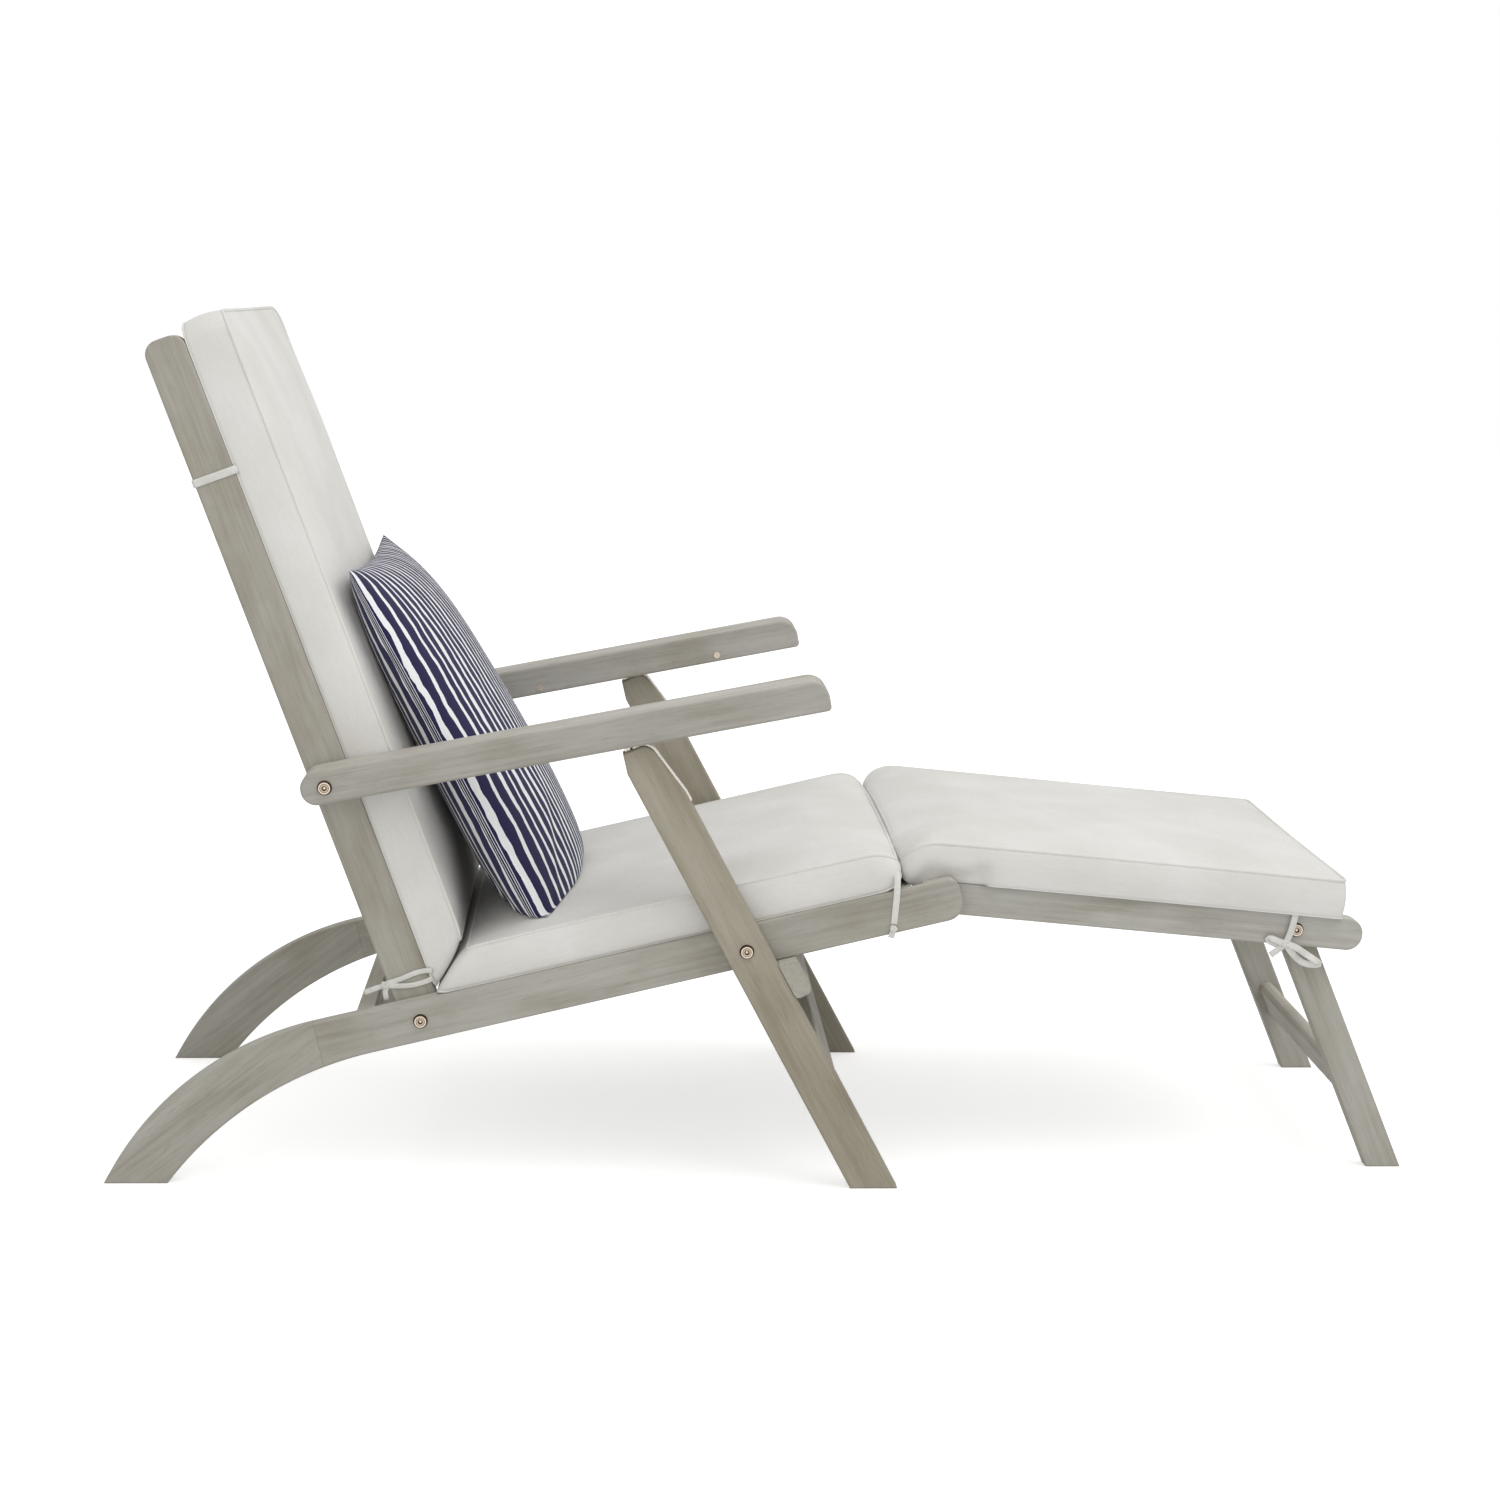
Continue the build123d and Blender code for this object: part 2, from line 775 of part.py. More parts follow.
def cushions():
    base = half_frame + soft_clearance
    full = base + seat_cushion_thickness
    back_base = half_frame + soft_clearance
    # The seat and back cushions meet on the line from their rear corner to their crease
    crease = crossing(rail, full, post, back_base + back_cushion_thickness)
    rear = crossing(rail, base, post, back_base)
    seat_start = -recline_setback + (rear - recline_pivot).dot(rail.along)
    seat = cushion(
        rail,
        seat_start,
        -seat_cushion_front,
        base,
        seat_cushion_thickness,
        seat_cushion_width,
        seat_cushion_crown,
    )
    back_start = (rear - recline_pivot).dot(post.along)
    back = cushion(
        post,
        back_start,
        back_cushion_top,
        back_base,
        back_cushion_thickness,
        back_cushion_width,
        back_cushion_crown,
    )
    fold = (crease - rear).normalized()
    over = overall_width
    normal = Vector(fold.Z, 0, -fold.X)
    gap = normal * (cushion_fold_gap / 2)
    outer, inner = rear - fold * over, rear + fold * over
    behind, ahead = normal * -over, normal * over
    seat -= plate([outer + gap, inner + gap, inner + behind, outer + behind], -over, over)
    back -= plate([outer - gap, inner - gap, inner + ahead, outer + ahead], -over, over)
    parts["seat_cushion"] = seat
    parts["back_cushion"] = back
    foot_base = half_foot + soft_clearance
    foot = cushion(
        footrest,
        -footrest_cushion_back,
        footrest_cushion_end,
        foot_base,
        footrest_cushion_thickness,
        seat_cushion_width,
        footrest_cushion_crown,
    )
    # Its overhanging edges are relieved where they swing round the rail noses
    radius = hypot(half_frame, rail_nose) + soft_clearance
    relief = rod(knee, -seat_cushion_width, -rail_inner + soft_clearance, radius)
    parts["footrest_cushion"] = foot - relief - left_of(relief)


def crossing(first, t_first, second, t_second):
    """Where the track at t_first beside one line meets the track at t_second beside another."""
    start, other = spot(first, 0, t_first), spot(second, 0, t_second)
    way, across = first.along, second.across
    return start + way * ((other - start).dot(across) / way.dot(across))


def pillow():
    """A square scatter pillow that leans on the back: thin edges and a full middle."""
    middle = recline_pivot + Vector(pillow_middle_forward, 0, pillow_middle_rise)
    axis = line_at(middle, upright_angle + pillow_lean_angle, side=-1)
    lip = pillow_edge / 2
    sections = []
    for place, thick, wide in zip(pillow_end_shares, pillow_thick_shares, pillow_width_shares):
        s = pillow_height * (place - 1 / 2)
        half = pillow_width / 2 * wide

        def point(y, t):
            return spot(axis, s, t) + Vector(0, y, 0)

        outline = []
        for side, bulge in ((1, pillow_front_bulge), (-1, pillow_back_bulge)):
            outline += [
                point(side * half * across, side * (lip + bulge * thick * rise))
                for across, rise in zip(pillow_across_shares, pillow_rise_shares)
            ]
        sections.append(make_face(Polyline(*outline, close=True)))
    parts["scatter_pillow"] = loft(sections, ruled=True)


def strap():
    """An elastic band that holds the back cushion: round both posts and behind them."""
    gap = soft_clearance
    outside = post_outer + gap + strap_thickness
    behind = -half_frame - gap
    low, high = strap_height - strap_width / 2, strap_height + strap_width / 2
    across = slab(post, low, high, behind - strap_thickness, behind, -outside, outside)
    side = slab(
        post, low, high, behind, strap_reach - half_frame, -outside, -outside + strap_thickness
    )
    parts["back_strap"] = across + side + left_of(side)


def tapes():
    """The cushions' tie tapes where they lie against the frame's outer faces."""
    gap = soft_clearance
    knee_top = spot(rail, -knee_tape_setback, half_frame + gap)
    half = tape_width / 2
    y = -rail_outer - gap
    knee_tape = plate(
        [
            knee_top + Vector(-half, 0, 0),
            knee_top + Vector(half, 0, 0),
            knee_top + Vector(half, 0, -knee_tape_length),
            knee_top + Vector(-half, 0, -knee_tape_length),
        ],
        y - tape_thickness,
        y,
    )
    pair("knee_tape", knee_tape)
    end_top = spot(footrest, end_tape_reach, half_foot)
    y = -footrest_outer - gap
    end_tape = plate(
        [
            end_top + Vector(-half, 0, 0),
            end_top + Vector(half, 0, 0),
            end_top + Vector(half, 0, -end_tape_length),
            end_top + Vector(-half, 0, -end_tape_length),
        ],
        y - tape_thickness,
        y,
    )
    pair("footrest_tape", end_tape)


seat_frame()
back_frame()
arms()
front_legs()
footrest_frame()
footrest_legs()
hardware()
cushions()
pillow()
strap()
tapes()

os.makedirs("parts", exist_ok=True)
for name, solid in parts.items():
    export_step(solid, f"parts/{name}.step")
print(len(parts), "parts")
for label, place in (
    ("recline", recline_pivot),
    ("leg", leg_pivot),
    ("arm", arm_pivot),
    ("knee", knee),
    ("footrest leg", foot_pivot),
    ("catch", catch_centre),
):
    print(label, round(place.X, 3), round(place.Z, 3))
print("arm angle", round(arm_angle, 3), "first notch", round(first_notch, 2))
print("foot splay", round(foot_splay_angle, 3))
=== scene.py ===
"""A folding reclining deck lounger in grey-washed hardwood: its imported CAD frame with
finished materials, three boxed and tied cushions, and a striped scatter pillow."""

import math

import bpy
import numpy as np
from mathutils import Matrix, Vector


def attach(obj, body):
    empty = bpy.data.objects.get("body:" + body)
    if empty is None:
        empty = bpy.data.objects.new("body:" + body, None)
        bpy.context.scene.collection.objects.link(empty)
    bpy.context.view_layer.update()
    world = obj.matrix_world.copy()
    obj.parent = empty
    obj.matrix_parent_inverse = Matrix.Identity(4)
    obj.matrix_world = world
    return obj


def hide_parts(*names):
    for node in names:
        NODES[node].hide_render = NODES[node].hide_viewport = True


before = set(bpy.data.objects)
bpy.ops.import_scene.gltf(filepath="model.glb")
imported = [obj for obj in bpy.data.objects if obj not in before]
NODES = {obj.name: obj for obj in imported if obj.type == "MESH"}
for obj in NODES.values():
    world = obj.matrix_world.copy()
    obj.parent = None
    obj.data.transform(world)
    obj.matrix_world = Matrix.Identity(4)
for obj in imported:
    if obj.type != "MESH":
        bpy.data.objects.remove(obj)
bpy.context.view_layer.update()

MM = 0.001


# Tracks: the straight lines that the frame is built on, as (origin, along, across)
def track(x, z, along_x, along_z, across_x, across_z):
    return (
        np.array([x * MM, 0, z * MM]),
        np.array([along_x, 0, along_z]),
        np.array([across_x, 0, across_z]),
    )


RAIL = track(188.331, 317.0, 0.97318, 0.23005, -0.23005, 0.97318)
POST = track(-378.059, 183.111, -0.3453, 0.9385, 0.9385, 0.3453)
FOOTREST = track(188.331, 317.0, 0.99588, -0.09063, 0.09063, 0.99588)
PILLOW = track(-355.46, 483.11, -0.46639, 0.88458, 0.88458, 0.46639)
# The two ends of the mitre between the seat cushion and the back cushion
REAR_CORNER = np.array([-363.6, 0, 210.0]) * MM
CREASE = np.array([-331.3, 0, 263.8]) * MM

SIDE = np.array([0.0, 1.0, 0.0])


def placed(line, s, y, t):
    """Points in the row frame from places along, beside and across a track, in metres."""
    origin, along, across = line
    s, y, t = (np.asarray(value, float)[..., None] for value in (s, y, t))
    return origin + along * s + SIDE * y + across * t


def local(line, points):
    """The (s, y, t) of points in the row frame."""
    origin, along, across = line
    moved = points - origin
    return moved @ along, points[..., 1], moved @ across


# Materials
def srgb(red, green, blue):
    """A linear colour from the numbers of an 8-bit display colour."""
    values = []
    for value in (red, green, blue):
        share = value / 255
        values.append(share / 12.92 if share <= 0.04045 else ((share + 0.055) / 1.055) ** 2.4)
    return (*values, 1.0)


class Nodes:
    """The shader nodes of a material or world, with short calls to add to them."""

    def __init__(self, owner):
        owner.use_nodes = True
        self.tree = owner.node_tree
        self.tree.nodes.clear()

    def node(self, kind, inputs=None, **settings):
        made = self.tree.nodes.new("ShaderNode" + kind)
        for key, value in settings.items():
            setattr(made, key, value)
        for key, value in (inputs or {}).items():
            if isinstance(value, bpy.types.NodeSocket):
                self.tree.links.new(value, made.inputs[key])
            else:
                made.inputs[key].default_value = value
        return made

    def coords(self, rotation=(0, 0, 0), scale=(1, 1, 1), location=(0, 0, 0)):
        """Object coordinates, turned first and scaled after."""
        source = self.node("TexCoord").outputs["Object"]
        turned = self.node("Mapping", {"Vector": source, "Rotation": rotation})
        sized = self.node(
            "Mapping",
            {"Vector": turned.outputs[0], "Scale": scale, "Location": location},
        )
        return sized.outputs[0]

    def noise(self, vector, scale=1.0, detail=3.0, roughness=0.55, distortion=0.0):
        made = self.node(
            "TexNoise",
            {
                "Vector": vector,
                "Scale": scale,
                "Detail": detail,
                "Roughness": roughness,
                "Distortion": distortion,
            },
        )
        return made.outputs["Fac"]

    def math(self, operation, first, second=0.0, third=0.0):
        made = self.node("Math", {0: first, 1: second, 2: third}, operation=operation)
        return made.outputs[0]

    def ramp(self, factor, stops, interpolation="LINEAR"):
        made = self.node("ValToRGB", {"Fac": factor})
        ramp = made.color_ramp
        ramp.interpolation = interpolation
        while len(ramp.elements) < len(stops):
            ramp.elements.new(0.5)
        for element, (place, _) in zip(ramp.elements, sorted(stops)):
            element.position = place
        for element, (_, colour) in zip(ramp.elements, sorted(stops)):
            element.color = colour
        return made.outputs["Color"]

    def mix(self, factor, first, second, blend="MIX"):
        made = self.node("Mix", {0: factor, 6: first, 7: second}, data_type="RGBA")
        made.blend_type = blend
        return made.outputs[2]

    def bump(self, height, distance, strength=1.0, normal=None):
        inputs = {"Height": height, "Distance": distance, "Strength": strength}
        if normal is not None:
            inputs["Normal"] = normal
        return self.node("Bump", inputs).outputs[0]

    def spread(self, value, low, high, first=0.0, last=1.0):
        """value with low to high laid on first to last, and held there beyond them."""
        made = self.node("MapRange", {0: value, 1: low, 2: high, 3: first, 4: last})
        return made.outputs[0]

    def stretched(self, vector, scale):
        return self.node("Mapping", {"Vector": vector, "Scale": scale}).outputs[0]


class Shader(Nodes):
    """A material made of shader nodes."""

    def __init__(self, name):
        self.material = bpy.data.materials.new(name)
        super().__init__(self.material)
        self.output = self.tree.nodes.new("ShaderNodeOutputMaterial")

    def surface(self, **inputs):
        """The principled shader that ends the tree; underscores stand for spaces."""
        named = {key.replace("_", " "): value for key, value in inputs.items()}
        shader = self.node("BsdfPrincipled", named)
        self.tree.links.new(shader.outputs[0], self.output.inputs["Surface"])
        return self.material


WHITE = (1, 1, 1, 1)
EDGE_SOFTNESS = 0.0018
WOOD_SHADES = ((148, 143, 132), (164, 160, 149), (177, 174, 165))
WASH_LOW = (0.86, 0.84, 0.79, 1)
WASH_HIGH = (1.05, 1.05, 1.06, 1)
PORE = (0.8, 0.78, 0.74, 1)
# Painted highlight: how much lighter the faces that look up are made
TOP_HIGHLIGHT = (1.26, 1.26, 1.27, 1)


def wood(name, rotation, tone=(0, 0, 0), offset=0.0):
    """Grey-washed hardwood whose grain runs along local X once turned by rotation. tone
    is what is added to the display colour, and offset moves the figure."""
    shader = Shader(name)
    shift = (offset, offset * 1.7, offset * 0.6)

    def pattern(scale, **how):
        return shader.noise(shader.coords(rotation, scale, shift), **how)

    streaks = pattern((7, 190, 190), detail=5, roughness=0.62, distortion=0.35)
    fibres = pattern((34, 900, 900), detail=3, roughness=0.6)
    figure = pattern((3.2, 26, 26), detail=3, roughness=0.5, distortion=0.8)
    mottle = pattern((9, 16, 16), detail=4, roughness=0.55)
    pores = pattern((60, 620, 620), detail=2, roughness=0.5)
    dark, middle, light = (
        srgb(*(value + extra for value, extra in zip(shade, tone))) for shade in WOOD_SHADES
    )
    grain = shader.math("MULTIPLY_ADD", streaks, 0.55, shader.math("MULTIPLY", figure, 0.45))
    grain = shader.math("MULTIPLY_ADD", shader.math("SUBTRACT", fibres, 0.5), 0.22, grain)
    colour = shader.ramp(grain, [(0.3, dark), (0.5, middle), (0.72, light)])
    wash = shader.ramp(mottle, [(0.3, WASH_LOW), (0.5, WHITE), (0.7, WASH_HIGH)])
    colour = shader.mix(1.0, colour, wash, "MULTIPLY")
    specks = shader.ramp(pores, [(0.3, PORE), (0.37, WHITE)])
    colour = shader.mix(0.55, colour, specks, "MULTIPLY")
    # Painted highlight: faces that look up are made lighter, as if lit from above
    normal = shader.node("TexCoord").outputs["Normal"]
    rise = shader.node("SeparateXYZ", {0: normal}).outputs["Z"]
    lit_top = shader.mix(1.0, colour, TOP_HIGHLIGHT, "MULTIPLY")
    colour = shader.mix(shader.spread(rise, 0.75, 0.97), colour, lit_top)
    edge = shader.node("Bevel", {"Radius": EDGE_SOFTNESS}, samples=4).outputs[0]
    relief = shader.math("MULTIPLY_ADD", fibres, 0.5, streaks)
    return shader.surface(
        Base_Color=colour,
        Roughness=shader.spread(grain, 0.3, 0.7, 0.72, 0.58),
        Normal=shader.bump(relief, 0.0005, 0.55, edge),
        Specular_IOR_Level=0.35,
    )


# Painted light and shade on a bolt's head, in rings: the dark outermost ring is painted shadow of
# the recess round the head, the bright ring inside it and the bright centre are painted
# highlights, and the dark inner ring is painted shade round the socket. Each ring is where it
# begins, in millimetres, and its colour
BOLT_SHADING_RINGS = (
    (0.0, (226, 218, 206)),
    (1.1, (150, 134, 116)),
    (1.8, (70, 56, 46)),
    (2.7, (186, 172, 154)),
    (4.3, (120, 102, 86)),
    (5.0, (222, 212, 198)),
    (6.3, (84, 68, 56)),
)
# How far the painted rings of shade and highlight reach, in millimetres, and how strongly they are
# laid on the metal
SHADING_RINGS_REACH = 12
SHADING_RINGS_FADE = 0.3
TARNISH = 0.82


def metal(name, tint, roughness, brushed, flanks=None, centre=None):
    """Plated metal with fine brush marks and smears, and painted shade on its flanks, the faces
    that do not look along Y. Where centre (x, z) is given, in millimetres, the head shows painted
    rings of shade and highlight about it."""
    shader = Shader(name)
    marks = shader.noise(shader.coords(scale=brushed), detail=3, roughness=0.6)
    smears = shader.noise(shader.coords(scale=(90, 90, 90)), detail=2)
    dull = tuple(TARNISH * value for value in tint[:3]) + (1,)
    colour = shader.ramp(smears, [(0.35, dull), (0.65, tint)])
    if centre:
        # Painted shade and highlight, in rings about the head's centre
        place = shader.coords(scale=(1, 0, 1), location=(-centre[0] * MM, 0, -centre[1] * MM))
        reach = shader.node("VectorMath", {0: place}, operation="LENGTH").outputs["Value"]
        share = shader.math("DIVIDE", reach, SHADING_RINGS_REACH * MM)
        rings = [(radius / SHADING_RINGS_REACH, srgb(*shade)) for radius, shade in BOLT_SHADING_RINGS]
        rings = shader.ramp(share, rings, "CONSTANT")
        colour = shader.mix(SHADING_RINGS_FADE, rings, colour, "MULTIPLY")
    if flanks:
        # Painted shade: faces that do not look along Y, the flanks of heads and washers, take the
        # dark flank colour
        normal = shader.node("NewGeometry").outputs["True Normal"]
        sideways = shader.node("SeparateXYZ", {0: normal}).outputs["Y"]
        head = shader.spread(shader.math("ABSOLUTE", sideways), 0.8, 0.95)
        colour = shader.mix(head, flanks, colour)
    return shader.surface(
        Base_Color=colour,
        Metallic=1.0,
        Roughness=shader.spread(marks, 0.3, 0.7, roughness - 0.06, roughness + 0.1),
        Normal=shader.bump(marks, 0.0001, 0.25),
    )


CANVAS_PITCH, TAPE_PITCH = 0.0017, 0.0011


def weave(shader, rotation, pitch):
    """A plain weave's height: over and under threads of the given pitch, in metres."""
    turn = 2 * math.pi / pitch
    split = shader.node("SeparateXYZ", {0: shader.coords(rotation, (turn, turn, turn))})
    warp = shader.math("SINE", split.outputs[0])
    weft = shader.math("SINE", split.outputs[1])
    return shader.math("MULTIPLY", warp, weft)


def canvas(name, rotation, tone=1.0):
    """Off-white outdoor canvas: a fine weave, slubs and soft unevenness."""
    shader = Shader(name)
    threads = weave(shader, rotation, CANVAS_PITCH)
    slubs = shader.noise(shader.coords(rotation, (60, 520, 520)), detail=2, roughness=0.5)
    cross = shader.noise(shader.coords(rotation, (520, 60, 520)), detail=2, roughness=0.5)
    cloud = shader.noise(shader.coords(rotation, (9, 9, 9)), detail=3, roughness=0.5)
    low = srgb(*(tone * value for value in (222, 220, 214)))
    high = srgb(*(tone * value for value in (233, 232, 228)))
    colour = shader.ramp(cloud, [(0.3, low), (0.7, high)])
    thread_shade = shader.math("MULTIPLY_ADD", threads, 0.02, 0.98)
    slub_shade = shader.math("MULTIPLY_ADD", shader.math("ADD", slubs, cross), 0.09, 0.91)
    shade = shader.math("MULTIPLY", thread_shade, slub_shade)
    colour = shader.mix(1.0, colour, shade, "MULTIPLY")
    crumple = shader.noise(shader.coords(rotation, (24, 24, 24)), detail=4, roughness=0.6)
    height = shader.math("MULTIPLY_ADD", threads, 0.16, shader.math("MULTIPLY", slubs, 0.3))
    normal = shader.bump(crumple, 0.0016, 0.35)
    return shader.surface(
        Base_Color=colour,
        Roughness=0.93,
        Normal=shader.bump(height, 0.0004, 0.6, normal),
        Specular_IOR_Level=0.2,
        Sheen_Weight=0.12,
        Sheen_Roughness=0.6,
    )


def turn_to(along_x, along_z):
    """The turn about Y that lays a direction in the side view on local X."""
    return (0, math.atan2(along_z, along_x), 0)


def tilt(line):
    """The turn that lays a track's along direction on local X."""
    return turn_to(line[1][0], line[1][2])


ACROSS_GRAIN = (0, 0, -math.pi / 2)
FOOT_CHORD = turn_to(201, 157)
ARM_TURN = (0, math.radians(10.89), 0)
LEG_TURN = turn_to(0.47255, -0.8813)
FOOT_LEG_TURN = turn_to(0.3869, -0.92212)


# Stage: camera, floor, world and lamps
CAMERA_PLACE = (-0.1694, -3.2335, 0.975)
CAMERA_LENS = 67.2
CAMERA_YAW, CAMERA_PITCH, CAMERA_ROLL = 2.82, 9.38, 0.75
FLOOR_REACH = 14.0
FLOOR_GLOW = (0.55, 0.66)
WORLD_LIGHT = 0.71


def set_camera():
    yaw, pitch, roll = (math.radians(turn) for turn in (CAMERA_YAW, CAMERA_PITCH, CAMERA_ROLL))
    forward = Vector(
        (math.sin(yaw) * math.cos(pitch), math.cos(yaw) * math.cos(pitch), -math.sin(pitch))
    )
    level = Vector((math.cos(yaw), -math.sin(yaw), 0))
    upright = level.cross(forward)
    right = level * math.cos(roll) + upright * math.sin(roll)
    upward = upright * math.cos(roll) - level * math.sin(roll)
    data = bpy.data.cameras.new("camera")
    data.lens = CAMERA_LENS
    data.sensor_width = 36
    camera = bpy.data.objects.new("camera", data)
    bpy.context.scene.collection.objects.link(camera)
    turn = Matrix((right, upward, -forward)).transposed()
    camera.matrix_world = Matrix.Translation(CAMERA_PLACE) @ turn.to_4x4()
    bpy.context.scene.camera = camera


def set_floor():
    """A white floor that takes shadows, and glows a little to what looks at it."""
    shader = Shader("floor_white")
    path = shader.node("LightPath").outputs
    seen = shader.math("MAXIMUM", path["Is Camera Ray"], path["Is Glossy Ray"])
    seen = shader.math("MAXIMUM", seen, path["Is Transmission Ray"])
    paint = shader.node("BsdfDiffuse", {"Color": srgb(232, 232, 231)})
    place = shader.node("TexCoord").outputs["Object"]
    reach = shader.node("VectorMath", {0: place}, operation="LENGTH").outputs["Value"]
    strength = shader.math("MULTIPLY", seen, shader.spread(reach, 1.0, 3.2, *FLOOR_GLOW))
    glow = shader.node("Emission", {"Color": WHITE, "Strength": strength})
    lit = shader.node("AddShader", {0: paint.outputs[0], 1: glow.outputs[0]})
    shader.tree.links.new(lit.outputs[0], shader.output.inputs["Surface"])
    mesh = bpy.data.meshes.new("floor")
    far = FLOOR_REACH
    corners = [(-far, -far, 0), (far, -far, 0), (far, far, 0), (-far, far, 0)]
    mesh.from_pydata(corners, [], [(0, 1, 2, 3)])
    mesh.materials.append(shader.material)
    floor = bpy.data.objects.new("floor", mesh)
    bpy.context.scene.collection.objects.link(floor)


def set_world():
    """Even light from all round, plain white where it is looked at."""
    world = bpy.data.worlds.new("studio")
    bpy.context.scene.world = world
    nodes = Nodes(world)
    path = nodes.node("LightPath").outputs
    seen = nodes.math("MAXIMUM", path["Is Camera Ray"], path["Is Transmission Ray"])
    soft = nodes.node("Background", {0: WHITE, 1: WORLD_LIGHT}).outputs[0]
    plain = nodes.node("Background", {0: WHITE, 1: 1.0}).outputs[0]
    chosen = nodes.node("MixShader", {0: seen, 1: soft, 2: plain}).outputs[0]
    nodes.node("OutputWorld", {"Surface": chosen})


def set_lamp(name, place, target, size, power):
    data = bpy.data.lights.new(name, "AREA")
    data.shape = "SQUARE"
    data.size = size
    data.energy = power
    lamp = bpy.data.objects.new(name, data)
    bpy.context.scene.collection.objects.link(lamp)
    way = Vector(target) - Vector(place)
    turn = way.to_track_quat("-Z", "Y").to_matrix()
    lamp.matrix_world = Matrix.Translation(place) @ turn.to_4x4()


set_camera()
set_floor()
set_world()
set_lamp("top_lamp", place=(1.3, -0.9, 3.0), target=(0, 0, 0.3), size=2.6, power=38)
set_lamp("front_lamp", place=(-1.0, -3.6, 1.7), target=(0, 0, 0.4), size=2.4, power=18)


# Finishes of the CAD frame
def dress(material, *names):
    for name in names:
        mesh = NODES[name].data
        mesh.materials.clear()
        mesh.materials.append(material)
        for polygon in mesh.polygons:
            polygon.material_index = 0


def both(*names):
    return [name + side for name in names for side in ("_left", "_right")]


dress(wood("wood_rail", tilt(RAIL), (3, 4, 6), 0.3), *both("seat_rail"))
dress(wood("wood_foot", FOOT_CHORD, (0, 1, 2), 1.9), *both("rear_foot"))
dress(wood("wood_post", tilt(POST), (0, 0, 0), 0.9), *both("back_post"))
dress(wood("wood_arm", ARM_TURN, (2, 3, 6), 2.3), *both("arm"))
dress(wood("wood_leg", LEG_TURN, (-7, -10, -15), 3.1), *both("front_leg"))
dress(wood("wood_footrest", tilt(FOOTREST), (10, 12, 15), 4.7), *both("footrest_rail"))
dress(wood("wood_foot_leg", FOOT_LEG_TURN, (0, 1, 2), 5.3), *both("footrest_leg"))
dress(
    wood("wood_cross", ACROSS_GRAIN, (0, 0, 0), 6.1),
    "rear_cross_rail",
    "front_cross_rail",
    "back_lower_rail",
    "back_upper_rail",
    "stop_bar",
    "leg_stretcher",
    "footrest_end_rail",
    "footrest_stretcher",
)
dress(
    wood("wood_slats", ACROSS_GRAIN, (-2, -1, 0), 7.7),
    "seat_slats",
    "back_slats",
    "footrest_slats",
)
# Tint, roughness, brush marks and the painted shade of the flanks
NICKEL = (srgb(204, 192, 178), 0.3, (300, 300, 300), srgb(92, 74, 60))
# The centre (x, z) of each bolt's head, in millimetres
BOLTS = {
    "recline_bolt": (-378.059, 183.111),
    "leg_bolt": (-24.795, 266.619),
    "knee_pin": (188.331, 317.0),
    "arm_bolt": (-475.088, 446.828),
    "footrest_leg_bolt": (586.685, 280.747),
}
for name, centre in BOLTS.items():
    dress(metal("metal_" + name, *NICKEL, centre), *both(name))
dress(
    metal("metal_nickel", *NICKEL),
    *both("rack_screws"),
    "recline_washers",
    "leg_washers",
    "knee_washers",
    "arm_washers",
    "footrest_leg_washers",
)
bright = metal("metal_bright", srgb(214, 209, 200), 0.26, (700, 60, 700))
dress(bright, *both("leg_guide", "leg_catch", "arm_rack"))


# Soft goods
def coords_of(mesh):
    values = np.zeros(len(mesh.vertices) * 3, np.float32)
    mesh.vertices.foreach_get("co", values)
    return values.reshape(-1, 3).astype(float)


def set_coords(mesh, points):
    mesh.vertices.foreach_set("co", points.astype(np.float32).ravel())
    mesh.update()


def new_mesh(name, points, faces, material):
    mesh = bpy.data.meshes.new(name)
    mesh.from_pydata([tuple(point) for point in points], [], faces)
    mesh.materials.append(material)
    mesh.polygons.foreach_set("use_smooth", [True] * len(mesh.polygons))
    mesh.update()
    made = bpy.data.objects.new(name, mesh)
    bpy.context.scene.collection.objects.link(made)
    return made


FILL_FRAMES = 20


def inflated(obj, pressure, pins, shrink, cap, stiffness=14.0, bending=0.6):
    """The points of obj after it fills with air as cloth, none moved further than cap."""
    rest = coords_of(obj.data)
    for name, weights in (("pins", pins), ("shrink", shrink)):
        group = obj.vertex_groups.new(name=name)
        for index, weight in enumerate(weights):
            if weight > 0:
                group.add([index], float(weight), "REPLACE")
    modifier = obj.modifiers.new("Cloth", "CLOTH")
    cloth = modifier.settings
    cloth.quality = 6
    cloth.mass = 0.25
    cloth.air_damping = 2.0
    cloth.tension_stiffness = stiffness
    cloth.compression_stiffness = stiffness
    cloth.shear_stiffness = stiffness / 3
    cloth.bending_stiffness = bending
    cloth.use_pressure = True
    cloth.uniform_pressure_force = pressure
    cloth.effector_weights.gravity = 0
    cloth.vertex_group_mass = "pins"
    cloth.pin_stiffness = 1.0
    cloth.vertex_group_shrink = "shrink"
    cloth.shrink_min = 0.0
    cloth.shrink_max = 0.06
    modifier.collision_settings.use_collision = False
    modifier.point_cache.frame_start = 1
    modifier.point_cache.frame_end = FILL_FRAMES
    scene = bpy.context.scene
    for number in range(1, FILL_FRAMES + 1):
        scene.frame_set(number)
    evaluated = obj.evaluated_get(bpy.context.evaluated_depsgraph_get())
    moved = coords_of(evaluated.data)
    obj.modifiers.remove(modifier)
    obj.vertex_groups.clear()
    scene.frame_set(1)
    step = moved - rest
    length = np.linalg.norm(step, axis=1, keepdims=True)
    return rest + step * np.minimum(1, cap / np.maximum(length, 1e-9))


